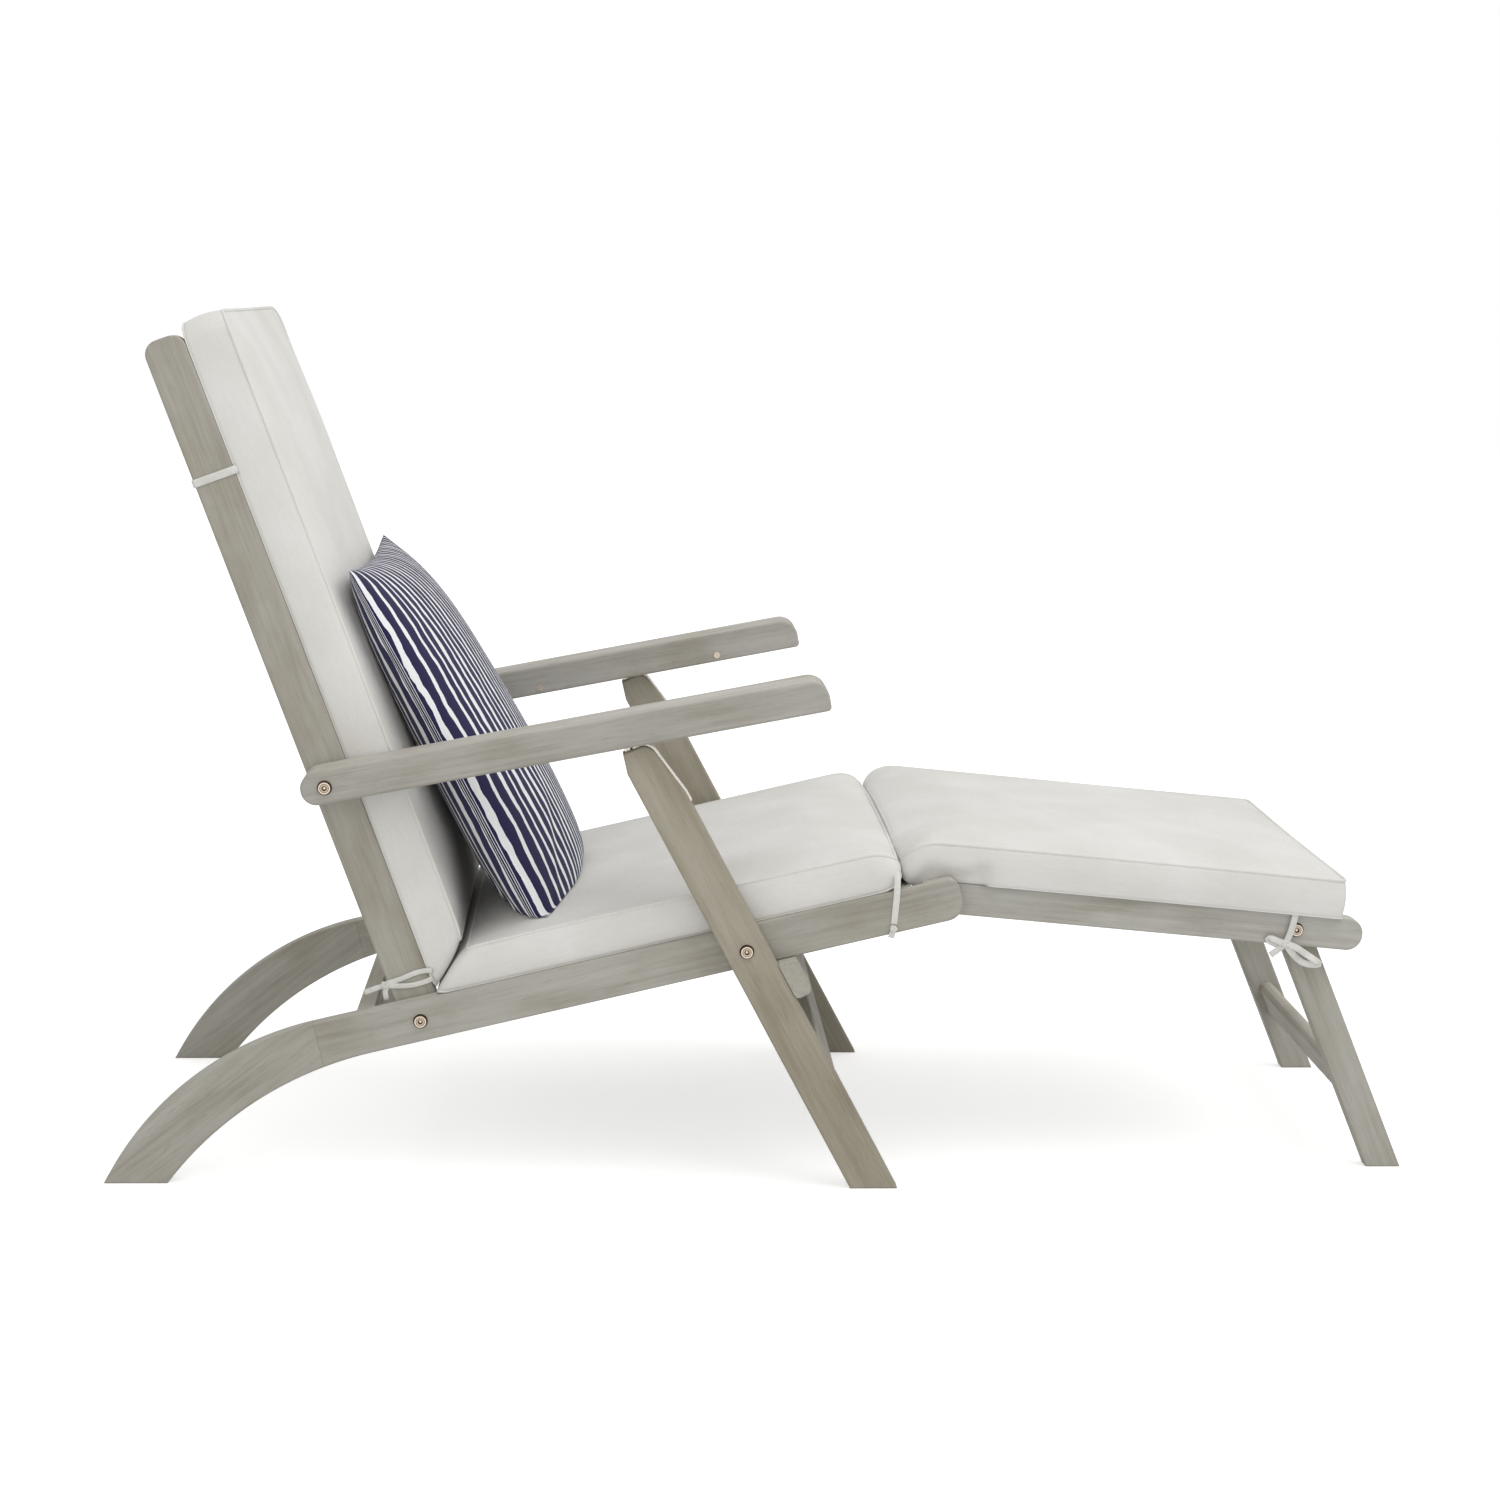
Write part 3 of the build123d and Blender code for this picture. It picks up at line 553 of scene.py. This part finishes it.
def panel(low, high, half, radii, draw_end, draw_side, rows, columns):
    """The (s, y) grid of a panel with rounded corners, and its (u, v) from -1 to 1."""
    u, v = np.meshgrid(
        np.linspace(-1, 1, rows + 1), np.linspace(-1, 1, columns + 1), indexing="ij"
    )
    reach = (high - low) / 2
    radius = np.where(u < 0, radii[0], radii[1])
    x, y = np.abs(u) * reach, np.abs(v) * half
    p = np.clip((x - (reach - radius)) / radius, 0, 1)
    q = np.clip((y - (half - radius)) / radius, 0, 1)
    x = np.minimum(x, reach - radius) + radius * p * np.sqrt(1 - q**2 / 2)
    y = np.minimum(y, half - radius) + radius * q * np.sqrt(1 - p**2 / 2)
    ends = np.where(u < 0, draw_end[0], draw_end[1])
    x -= ends * (1 - v**2) * np.abs(u) ** 4
    y -= draw_side * (1 - u**2) * np.abs(v) ** 4
    return (low + high) / 2 + np.sign(u) * x, np.sign(v) * y, u, v


def rim(rows, columns):
    """The grid's border as (row, column) pairs, in order round it."""
    border = [(row, 0) for row in range(rows)]
    border += [(rows, column) for column in range(columns)]
    border += [(row, columns) for row in range(rows, 0, -1)]
    border += [(0, column) for column in range(columns, 0, -1)]
    return border


def cells(rows, columns):
    """The grid's squares, each as its four (row, column) corners in order."""
    for row in range(rows):
        for column in range(columns):
            yield [(row, column), (row + 1, column), (row + 1, column + 1), (row, column + 1)]


def nosed(s, t, v, end, way, length, middle, beside, between):
    """Rounds off a cushion's end. end is its (s, t), way points in from it, length is how
    far it tapers, and middle its middle height. beside and between are the shares of the
    thickness that are left at the cushion's sides and halfway between them."""
    least = beside + (between - beside) * (1 - np.abs(v) ** 3)
    inside = (s - end[0]) * way[0] + (t - end[1]) * way[1]
    share = np.clip(1 - inside / length, 0, 1)
    return middle + (t - middle) * (least + (1 - least) * np.sqrt(1 - share**2.4))


def firm(mesh, loop, crease, soft=()):
    """Keeps the edges of a closed loop of vertices sharp when the mesh is subdivided,
    except between two of the soft vertices."""
    attribute = mesh.attributes.get("crease_edge")
    if attribute is None:
        attribute = mesh.attributes.new("crease_edge", "FLOAT", "EDGE")
    pairs = {frozenset(pair) for pair in zip(loop, loop[1:] + loop[:1])}
    for edge in mesh.edges:
        if frozenset(edge.vertices) in pairs and not set(edge.vertices) <= set(soft):
            attribute.data[edge.index].value = crease


def smoothed(obj):
    modifier = obj.modifiers.new("Smooth", "SUBSURF")
    modifier.levels = 1
    modifier.render_levels = 1


GRID = 0.0098
SIDE_ROWS = 5
SIDE_SWELL = 0.003
LOWER_CREASE, UPPER_CREASE = 0.9, 0.55
PIN_UNDER, PIN_TOP, PIN_SIDE, PIN_SEAM = 1.0, 0.02, 0.35, 0.8
SEAM_SHRINK = 0.35
CUSHION_PRESSURE = 5.0
CUSHION_CAP = 0.022


def boxed_cushion(
    name, material, line, limit, low, high, half, base, thickness, crown, radii, draw_end,
    draw_side, noses, knee_end=None,
):
    """A boxed cushion on a track, kept within limit. low and high are the places of its
    two ends, each as (at the bottom seam, at the top seam); radii and draw_end have one
    value for each end. knee_end is 0 or 1 for the end that rolls over softly at the knee.
    Returns the cushion and the points of its two seams."""
    rows = round((high[0] - low[0]) / GRID)
    columns = round(2 * half / GRID)
    grids = []
    for level in (0, 1):
        ends = low[level], high[level]
        s, y, u, v = panel(*ends, half, radii, draw_end, draw_side, rows, columns)
        lift = crown * (1 - np.abs(u) ** 4) * (1 - np.abs(v) ** 4) * level
        t = base + thickness * level + lift
        for nose in noses:
            t = nosed(s, t, v, **nose)
        grids.append(placed(line, s, y, t))
    count = (rows + 1) * (columns + 1)

    def index(level, cell):
        return level * count + cell[0] * (columns + 1) + cell[1]

    points = [grid.reshape(-1, 3) for grid in grids]
    border = rim(rows, columns)
    lower_seam, upper_seam = ([index(level, cell) for cell in border] for level in (0, 1))
    stacked = np.concatenate(points)
    bottom, top = stacked[lower_seam], stacked[upper_seam]
    centre = (bottom.mean(0) + top.mean(0)) / 2
    outward = bottom - centre
    outward -= np.outer(outward @ line[2], line[2])
    outward /= np.linalg.norm(outward, axis=1, keepdims=True)
    loops = [lower_seam]
    total = 2 * count
    for row in range(1, SIDE_ROWS):
        share = row / SIDE_ROWS
        swell = SIDE_SWELL * math.sin(math.pi * share)
        points.append(bottom * (1 - share) + top * share + outward * swell)
        loops.append(list(range(total, total + len(border))))
        total += len(border)
    loops.append(upper_seam)
    faces = []
    for cell in cells(rows, columns):
        faces.append([index(1, corner) for corner in cell])
        faces.append([index(0, corner) for corner in reversed(cell)])
    for lower, upper in zip(loops, loops[1:]):
        for i in range(len(border)):
            j = (i + 1) % len(border)
            faces.append([lower[i], lower[j], upper[j], upper[i]])
    if np.cross(line[1], SIDE) @ line[2] < 0:
        faces = [face[::-1] for face in faces]
    obj = new_mesh(name, np.concatenate(points), faces, material)
    soft = []
    if knee_end is not None:
        soft = [index(1, (knee_end * rows, column)) for column in range(columns + 1)]
    firm(obj.data, lower_seam, LOWER_CREASE)
    firm(obj.data, upper_seam, UPPER_CREASE, soft)
    pins = np.zeros(total)
    pins[:count] = PIN_UNDER
    pins[count : 2 * count] = PIN_TOP
    for loop in loops[1:-1]:
        pins[loop] = PIN_SIDE
    pins[upper_seam] = PIN_SEAM
    shrink = np.zeros(total)
    shrink[upper_seam] = SEAM_SHRINK
    moved = limit(inflated(obj, CUSHION_PRESSURE, pins, shrink, CUSHION_CAP))
    set_coords(obj.data, moved)
    return obj, (moved[lower_seam], moved[upper_seam])


def mitre(points, sign, gap=0.0008):
    """Keeps points on one side of the seat's and back's common mitre."""
    way = (CREASE - REAR_CORNER) / np.linalg.norm(CREASE - REAR_CORNER)
    normal = np.array([way[2], 0, -way[0]]) * sign
    depth = (points - REAR_CORNER) @ normal - gap
    return points - np.outer(np.minimum(depth, 0), normal)


def bounded(points, line, along, half, across):
    """Keeps points between two places along and two across a track, and near its middle."""
    s, y, t = local(line, points)
    return placed(line, np.clip(s, *along), np.clip(y, -half, half), np.clip(t, *across))


def seat_limit(points):
    points = bounded(points, RAIL, (-0.566, -0.0335), 0.2592, (0.0229, 0.0800))
    return mitre(points, 1)


def back_limit(points):
    points = bounded(points, POST, (0.018, 0.7905), 0.2388, (0.0229, 0.0835))
    return mitre(points, -1)


# The footrest cushion's knee end, in metres from the knee's axis
FOOTREST_UNDER = 0.0184
FOOTREST_SEAM = 0.0616
FOOTREST_DEEP = 0.043
RAIL_TOP = 0.0230
KNEE_LOWEST = 0.0050
KNEE_HALF = 0.2388
KNEE_RELIEF = 0.0328
KNEE_FLARE = 3
KNEE_LENGTH = 0.05


def footrest_limit(points):
    """Near the knee the cushion draws in and hangs down between the seat rails, so that
    it turns there without touching them."""
    points = bounded(points, FOOTREST, (-0.0500, 0.4545), 0.2525, (FOOTREST_UNDER, 0.0735))
    s, y, t = local(FOOTREST, points)
    beyond = np.clip(-s, 0, FOOTREST_UNDER)
    lowest = np.maximum(np.sqrt(FOOTREST_UNDER**2 - beyond**2), KNEE_LOWEST)
    t = t - (FOOTREST_UNDER - lowest) * np.clip((FOOTREST_SEAM - t) / FOOTREST_DEEP, 0, 1)
    height = local(RAIL, placed(FOOTREST, s, y, t))[2]
    half = KNEE_HALF + np.maximum(np.hypot(s, t) - KNEE_RELIEF, 0) * KNEE_FLARE
    half = np.where((height < RAIL_TOP) & (s < KNEE_LENGTH), KNEE_HALF, half)
    return placed(FOOTREST, s, np.clip(y, -half, half), t)


SECTION_SIDES = 10
SECTION_ENDS, SECTION_FACES = 0.6, 0.9
STEP = 0.0028


def blunted(wave, power):
    return np.sign(wave) * np.abs(wave) ** power


def curved(points, closed):
    """Points close together on the smooth line through a few control points."""
    control = np.array(points, float)
    count = len(control)
    if closed:
        before, after = control[-1:], control[:2]
    else:
        before = 2 * control[:1] - control[1:2]
        after = 2 * control[-1:] - control[-2:-1]
    padded = np.concatenate([before, control, after])
    result = []
    for i in range(count if closed else count - 1):
        a, b, c, d = padded[i : i + 4]
        parts = max(1, math.ceil(np.linalg.norm((c - b)[:3]) / STEP))
        for part in range(parts):
            x = part / parts
            result.append(
                b
                + 0.5 * x * (c - a + x * (2 * a - 5 * b + 4 * c - d + x * (3 * (b - c) + d - a)))
            )
    if not closed:
        result.append(control[-1])
    return np.array(result)


def sweep(name, points, width, thickness, material, wide=None, facing=None, closed=False):
    """A welt or tape along points. wide is the direction of its width, or facing that of
    its broad side; either may be one vector or one for each point."""
    guide = np.array(wide if wide is not None else facing, float)
    if guide.ndim == 1:
        guide = np.tile(guide, (len(points), 1))
    line = curved(np.concatenate([np.array(points, float), guide], axis=1), closed)
    centre, guide = line[:, :3], line[:, 3:]
    if closed:
        tangent = np.roll(centre, -1, 0) - np.roll(centre, 1, 0)
    else:
        tangent = np.gradient(centre, axis=0)
    tangent /= np.linalg.norm(tangent, axis=1, keepdims=True)
    if wide is None:
        guide = np.cross(guide, tangent)
    guide -= (guide * tangent).sum(1, keepdims=True) * tangent
    guide /= np.linalg.norm(guide, axis=1, keepdims=True)
    normal = np.cross(tangent, guide)
    turn = np.linspace(0, 2 * math.pi, SECTION_SIDES, endpoint=False)
    across = blunted(np.cos(turn), SECTION_ENDS) * width / 2
    deep = blunted(np.sin(turn), SECTION_FACES) * thickness / 2
    rings = (
        centre[:, None]
        + guide[:, None] * across[None, :, None]
        + normal[:, None] * deep[None, :, None]
    )
    count = len(centre)
    faces = []
    for i in range(count if closed else count - 1):
        here, there = i * SECTION_SIDES, (i + 1) % count * SECTION_SIDES
        for j in range(SECTION_SIDES):
            k = (j + 1) % SECTION_SIDES
            faces.append([here + j, here + k, there + k, there + j])
    if not closed:
        faces.append(list(reversed(range(SECTION_SIDES))))
        faces.append(list(range((count - 1) * SECTION_SIDES, count * SECTION_SIDES)))
    return new_mesh(name, rings.reshape(-1, 3), faces, material)


LOWER_WELT, UPPER_WELT = 0.0026, 0.0034
WELT_INSET = 0.0012


def add_cushion(name, node, body, material, line, limit, **shape):
    """A cushion with its two welts, in place of a CAD node."""
    obj, seams = boxed_cushion(name, material, line, limit, **shape)
    smoothed(obj)
    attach(obj, body)
    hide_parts(node)
    for place, seam, size in (("lower", seams[0], LOWER_WELT), ("upper", seams[1], UPPER_WELT)):
        inward = seam.mean(0) - seam
        inward /= np.linalg.norm(inward, axis=1, keepdims=True)
        welt = sweep(
            f"{name}_{place}_welt", seam + inward * WELT_INSET, size, size, material,
            wide=line[2], closed=True,
        )
        set_coords(welt.data, limit(coords_of(welt.data)))
        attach(welt, body)
    return obj


seat_cushion = add_cushion(
    "cushion_seat",
    "seat_cushion",
    "seat_frame",
    canvas("canvas_seat", tilt(RAIL), 0.98),
    RAIL,
    seat_limit,
    low=(-0.5605, -0.5165),
    high=(-0.0355, -0.0365),
    half=0.2570,
    base=0.0230,
    thickness=0.0440,
    crown=0.0080,
    radii=(0.010, 0.014),
    draw_end=(0.0, -0.003),
    draw_side=0.002,
    noses=(
        dict(
            end=(-0.0350, 0.0), way=(-1, 0), length=0.036, middle=0.0420,
            beside=0.14, between=0.60,
        ),
        dict(
            end=(-0.5617, 0.0228), way=(0.7166, -0.6975), length=0.018, middle=0.0440,
            beside=0.72, between=0.72,
        ),
    ),
    knee_end=1,
)
back_cushion = add_cushion(
    "cushion_back",
    "back_cushion",
    "back",
    canvas("canvas_back", tilt(POST), 0.98),
    POST,
    back_limit,
    low=(0.0210, 0.0615),
    high=(0.7870, 0.7870),
    half=0.2370,
    base=0.0230,
    thickness=0.0480,
    crown=0.0070,
    radii=(0.010, 0.026),
    draw_end=(0.0, 0.0),
    draw_side=0.002,
    noses=(
        dict(
            end=(0.7890, 0.0), way=(-1, 0), length=0.026, middle=0.0450,
            beside=0.80, between=0.80,
        ),
        dict(
            end=(0.0202, 0.0228), way=(0.7784, -0.6278), length=0.020, middle=0.0460,
            beside=0.70, between=0.70,
        ),
    ),
)
add_cushion(
    "cushion_footrest",
    "footrest_cushion",
    "footrest",
    canvas("canvas_footrest", tilt(FOOTREST), 0.965),
    FOOTREST,
    footrest_limit,
    low=(-0.0440, -0.0470),
    high=(0.4490, 0.4480),
    half=0.2485,
    base=0.0186,
    thickness=0.0430,
    crown=0.0070,
    radii=(0.014, 0.008),
    draw_end=(-0.003, 0.002),
    draw_side=0.002,
    noses=(
        dict(
            end=(-0.0480, 0.0), way=(1, 0), length=0.046, middle=0.0400,
            beside=0.12, between=0.60,
        ),
    ),
    knee_end=0,
)


# The scatter pillow: two panels sewn at a knife edge. Each stripe is where it begins and
# its width, in millimetres
PILLOW_STRIPES = (
    (3, 4.4), (16, 3.6), (28, 5.8), (43, 4.0), (56, 5.0), (70, 3.6),
    (83, 4.6), (96, 5.8), (111, 4.0), (124, 4.8), (138, 4.0),
)
STRIPE_REPEAT = 150
STRIPE_START = 3.0
LONG_WAVE, SHORT_WAVE = 0.0085, 0.0015
PILLOW_THREAD = 0.0012


def pillow_cloth():
    """Navy cloth with white stripes that waver a little. Its "cloth" attribute is the
    place on the flat cloth, in metres."""
    shader = Shader("pillow_stripes")
    cloth = shader.node("Attribute", attribute_name="cloth").outputs["Vector"]
    place = shader.node("SeparateXYZ", {0: cloth}).outputs["X"]
    for scale, reach in (((38, 17, 1), LONG_WAVE), ((90, 75, 1), SHORT_WAVE)):
        wave = shader.noise(shader.stretched(cloth, scale), detail=2)
        place = shader.math("MULTIPLY_ADD", shader.math("SUBTRACT", wave, 0.5), reach, place)
    place = shader.math("ADD", place, STRIPE_START)
    share = shader.math("FRACT", shader.math("DIVIDE", place, STRIPE_REPEAT * MM))
    navy, white = srgb(38, 35, 74), srgb(238, 239, 241)
    stops = [(0.0, navy)]
    for start, width in PILLOW_STRIPES:
        stops.append((start / STRIPE_REPEAT, white))
        stops.append(((start + width) / STRIPE_REPEAT, navy))
    colour = shader.ramp(share, stops, "CONSTANT")
    turn = 2 * math.pi / PILLOW_THREAD
    fine = shader.node("SeparateXYZ", {0: shader.stretched(cloth, (turn, turn, 1))}).outputs
    warp, weft = (shader.math("SINE", fine[axis]) for axis in ("X", "Y"))
    threads = shader.math("MULTIPLY", warp, weft)
    slubs = shader.noise(shader.stretched(cloth, (900, 80, 1)), detail=2)
    shade = shader.math("MULTIPLY_ADD", slubs, 0.2, 0.9)
    crumple = shader.noise(shader.coords(scale=(30, 30, 30)), detail=3)
    return shader.surface(
        Base_Color=shader.mix(1.0, colour, shade, "MULTIPLY"),
        Roughness=0.88,
        Normal=shader.bump(threads, 0.0002, 0.5, shader.bump(crumple, 0.0015, 0.3)),
        Specular_IOR_Level=0.25,
        Sheen_Weight=0.1,
    )


def above(line, points, under, gap):
    """Lifts points out of a cushion, to the height of its vertex nearest to each."""
    s, y, t = local(line, points)
    under_s, under_y, under_t = local(line, under)
    top = under_t > np.median(under_t)
    under_s, under_y, under_t = under_s[top], under_y[top], under_t[top]
    for i in range(len(t)):
        apart = (under_s - s[i]) ** 2 + (under_y - y[i]) ** 2
        nearest = np.argmin(apart)
        if apart[nearest] < GRID**2:
            t[i] = max(t[i], under_t[nearest] + gap)
    return placed(line, s, y, t)


PILLOW_HEIGHT, PILLOW_WIDTH = 0.428, 0.456
PILLOW_ROWS, PILLOW_COLUMNS = 60, 64
EDGE_DRAW = 0.010
FOOT_EXTRA = 0.056
FRONT_FULL, BACK_FULL = 0.058, 0.036
STRIPES_ACROSS = 0.78
BACK_STRIPES_SHIFT = 0.041
EDGE_PIN, EDGE_SHRINK = 0.3, 0.6
PILLOW_PRESSURE = 3.0
PILLOW_CAP = 0.028
PILLOW_SOFT = 0.058
PILLOW_GIVE = 0.022
PILLOW_LOWEST = -0.0405
PILLOW_GAP = 0.0012


def pillow(seat_points, back_points):
    """The filled pillow, clear of the finished seat and back cushions."""
    rows, columns = PILLOW_ROWS, PILLOW_COLUMNS
    u, v = np.meshgrid(
        np.linspace(-1, 1, rows + 1), np.linspace(-1, 1, columns + 1), indexing="ij"
    )
    count = (rows + 1) * (columns + 1)
    s = u * PILLOW_HEIGHT / 2 - EDGE_DRAW * np.sign(u) * (1 - v**2) * np.abs(u) ** 3
    y = v * PILLOW_WIDTH / 2 - EDGE_DRAW * np.sign(v) * (1 - u**2) * np.abs(v) ** 3
    # The pillow's foot presses on the seat: it is made too long and flattened there
    s -= FOOT_EXTRA * np.clip(-u, 0, 1) ** 1.5
    full = (1 - u**4) ** 0.6
    full = np.where(u < 0, (1 - u**8) ** 0.5, full) * (1 - 0.14 * u)
    front_full = full * (1 - np.abs(v) ** 2) ** 0.6
    back_full = full * (1 - v**4) ** 0.6
    front = placed(PILLOW, s, y, FRONT_FULL * front_full).reshape(-1, 3)
    back = placed(PILLOW, s, y, -BACK_FULL * back_full).reshape(-1, 3)
    strewn = v * STRIPES_ACROSS * PILLOW_WIDTH / 2
    cloth = np.stack([strewn, u * PILLOW_HEIGHT / 2, np.zeros_like(u)], axis=-1).reshape(-1, 3)

    def index(side, cell):
        row, column = cell
        if side and 0 < row < rows and 0 < column < columns:
            return count + (row - 1) * (columns - 1) + column - 1
        return row * (columns + 1) + column

    inner = np.zeros((rows + 1, columns + 1), bool)
    inner[1:-1, 1:-1] = True
    inner = inner.ravel()
    points = np.concatenate([front, back[inner]])
    cloth = np.concatenate([cloth, cloth[inner] + (BACK_STRIPES_SHIFT, 0, 0)])
    faces = []
    for cell in cells(rows, columns):
        faces.append([index(0, corner) for corner in reversed(cell)])
        faces.append([index(1, corner) for corner in cell])
    obj = new_mesh("pillow", points, faces, pillow_cloth())
    attribute = obj.data.attributes.new("cloth", "FLOAT_VECTOR", "POINT")
    attribute.data.foreach_set("vector", cloth.astype(np.float32).ravel())
    edge = np.zeros(len(points))
    edge[:count] = (~inner).astype(float)
    corner = np.zeros(len(points))
    corner[:count] = ((u * v) ** 8).ravel()
    hold = np.maximum(edge * EDGE_PIN, corner * edge)
    moved = inflated(
        obj, PILLOW_PRESSURE, hold, edge * EDGE_SHRINK, PILLOW_CAP, stiffness=9.0, bending=0.12
    )
    s, y, t = local(PILLOW, moved)
    high = np.maximum(t - PILLOW_SOFT, 0)
    t = np.minimum(t, PILLOW_SOFT) + PILLOW_GIVE * (1 - np.exp(-high / PILLOW_GIVE))
    moved = placed(PILLOW, s, y, np.maximum(t, PILLOW_LOWEST))
    for line, under in ((POST, back_points), (RAIL, seat_points)):
        moved = above(line, moved, under, PILLOW_GAP)
    set_coords(obj.data, moved)
    smoothed(obj)
    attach(obj, "back")
    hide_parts("scatter_pillow")


pillow(coords_of(seat_cushion.data), coords_of(back_cushion.data))


# Tapes: the strap round the back, and the ties
def tape_cloth():
    shader = Shader("tie_tape")
    threads = weave(shader, (0, 0.6, 0), TAPE_PITCH)
    cloud = shader.noise(shader.coords(scale=(70, 70, 70)), detail=3)
    colour = shader.ramp(cloud, [(0.3, srgb(219, 217, 210)), (0.7, srgb(234, 233, 228))])
    shade = shader.math("MULTIPLY_ADD", threads, 0.03, 0.97)
    return shader.surface(
        Base_Color=shader.mix(1.0, colour, shade, "MULTIPLY"),
        Roughness=0.9,
        Normal=shader.bump(threads, 0.0003, 0.6),
        Specular_IOR_Level=0.2,
    )


tape = tape_cloth()

# The width and thickness of each kind of tape
STRAP = (0.0088, 0.0011)
KNEE_TAPE = (0.0072, 0.0011)
FOOT_TAPE = (0.0074, 0.0011)
REAR_TAPE = (0.0060, 0.0010)
TAPE_END = (0.0066, 0.0011)
KNOT = (0.0040, 0.0022)
KNOT_POINTS = 15
KNOT_SWING = 0.38
KNOT_DEPTH = 0.0012

STRAP_PLACE = 0.625
BESIDE_SEAT = 0.2648
BESIDE_SEAT_KNOT = 0.2655
BESIDE_RAILS = 0.2388


def tied(name, points, body, size, node=None, **how):
    """A piece of tape that rides on body, in place of a CAD node where one is named."""
    obj = sweep(name, points, *size, tape, **how)
    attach(obj, body)
    if node:
        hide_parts(node)
    return obj


def strap():
    """The strap across the back, from the cushion's one side to its other side."""
    path = [
        (-0.2368, 0.0262), (-0.2388, 0.0225), (-0.2389, 0.0), (-0.2389, -0.0205),
        (-0.2368, -0.0236), (-0.225, -0.0238), (-0.12, -0.0238),
    ]
    path = path + [(-y, t) for y, t in reversed(path)]
    s = np.full(len(path), STRAP_PLACE)
    y, t = np.array(path).T
    tied("strap_back", placed(POST, s, y, t), "back", STRAP, "back_strap", wide=POST[1])


def knot(name, centre, radius, body, side):
    """A small overhand knot: a flattened trefoil that its own strands fill."""
    turn = np.linspace(0, 2 * math.pi, KNOT_POINTS, endpoint=False)
    ring = radius * (1 - KNOT_SWING + KNOT_SWING * np.cos(3 * turn))
    x, z = ring * np.cos(2 * turn), ring * np.sin(2 * turn)
    y = KNOT_DEPTH * np.sin(3 * turn)
    points = np.stack([x, y, z], axis=1) + centre
    return tied(name, points, body, KNOT, facing=(0, side, 0), closed=True)


def flat(points, y, side):
    """Points beside the frame at a distance y from the middle, from (x, z) in millimetres
    and what is added to y in metres."""
    return [(x * MM, side * (y + extra), z * MM) for x, z, extra in points]


def knee_tie(side, suffix):
    """The tie down the seat rail's outer face, from the valley between the cushions."""
    facing = (0, side, 0)
    points = [
        (139.0, 348.0, -0.0120), (139.5, 341.0, -0.0030), (139.2, 334.0, 0.0004),
        (138.8, 322.0, 0), (137.6, 306.0, 0), (136.4, 292.0, 0.0002),
    ]
    tied(
        "knee_tie_" + suffix, flat(points, BESIDE_SEAT, side), "seat_frame", KNEE_TAPE,
        "knee_tape_" + suffix, facing=facing,
    )
    knot("knee_knot_" + suffix, (0.1358, side * 0.2662, 0.2875), 0.0030, "seat_frame", side)
    tail = [(136.0, 287.0, 0), (134.6, 282.0, 0.0004), (133.4, 277.5, 0.0002)]
    tied(
        "knee_tail_" + suffix, flat(tail, BESIDE_SEAT_KNOT, side), "seat_frame", TAPE_END,
        facing=facing,
    )


def foot_bow(side, suffix):
    """The bow that ties the footrest cushion down beside its leg bolt."""
    strands = {
        "stem": [
            (584, 304, 0.0062), (583.4, 298, 0.0052), (582, 289, 0.0036), (579, 278, 0.0036),
            (575.5, 268, 0.0022),
        ],
        "loop_right": [
            (576, 266, 0.0030), (587, 261.2, 0.0046), (600, 252.8, 0.0060), (610.5, 245.4, 0.0052),
            (612.6, 242.6, 0.0030), (606, 241.6, 0.0010), (596, 243.4, 0.0004),
            (587, 250.0, 0.0008), (578.5, 260, 0.0016), (575.5, 265, 0.0020),
        ],
        "loop_left": [
            (574, 266, 0.0028), (567, 268.5, 0.0044), (558.5, 272, 0.0048), (554.6, 271.2, 0.0034),
            (557.5, 268.0, 0.0018), (566, 264.5, 0.0014), (573, 264.5, 0.0018),
        ],
        "tail_left": [(574, 265, 0.0016), (567, 259.6, 0.0024), (558.4, 252.6, 0.0012)],
    }
    for part, points in strands.items():
        tied(
            f"foot_{part}_{suffix}", flat(points, BESIDE_RAILS, side), "footrest", FOOT_TAPE,
            "footrest_tape_" + suffix if part == "stem" else None, facing=(0, side, 0),
        )
    centre = (0.5748, side * (BESIDE_RAILS + 0.0032), 0.2658)
    knot("foot_knot_" + suffix, centre, 0.0036, "footrest", side)


def rear_tie(side, suffix):
    """The tie at the crease: two strands round the post's outer face to a knot behind it."""
    strands = {
        "upper": [
            (-366, 233, 0.0002), (-374, 233.4, 0.0004), (-386, 230.5, 0.0006),
            (-400, 224.5, 0.0008), (-417, 218.6, 0.0004),
        ],
        "lower": [
            (-366, 225, 0.0002), (-373, 221.5, 0.0004), (-386, 217.6, 0.0006),
            (-400, 216.2, 0.0008), (-417, 216.4, 0.0004),
        ],
        "tail": [(-418, 217, 0.0004), (-428, 213.5, 0.0004), (-441, 208.5, 0.0002)],
        "stub": [(-417, 215.5, 0.0006), (-417.8, 208.5, 0.0004), (-416.4, 200.5, 0.0002)],
    }
    for part, points in strands.items():
        tied(
            f"rear_{part}_{suffix}", flat(points, BESIDE_RAILS, side), "seat_frame", REAR_TAPE,
            facing=(0, side, 0),
        )
    knot("rear_knot_" + suffix, (-0.4185, side * 0.2406, 0.2172), 0.0032, "seat_frame", side)


strap()
for side, suffix in ((-1, "right"), (1, "left")):
    knee_tie(side, suffix)
    foot_bow(side, suffix)
    rear_tie(side, suffix)

bpy.context.scene.view_settings.view_transform = "Standard"
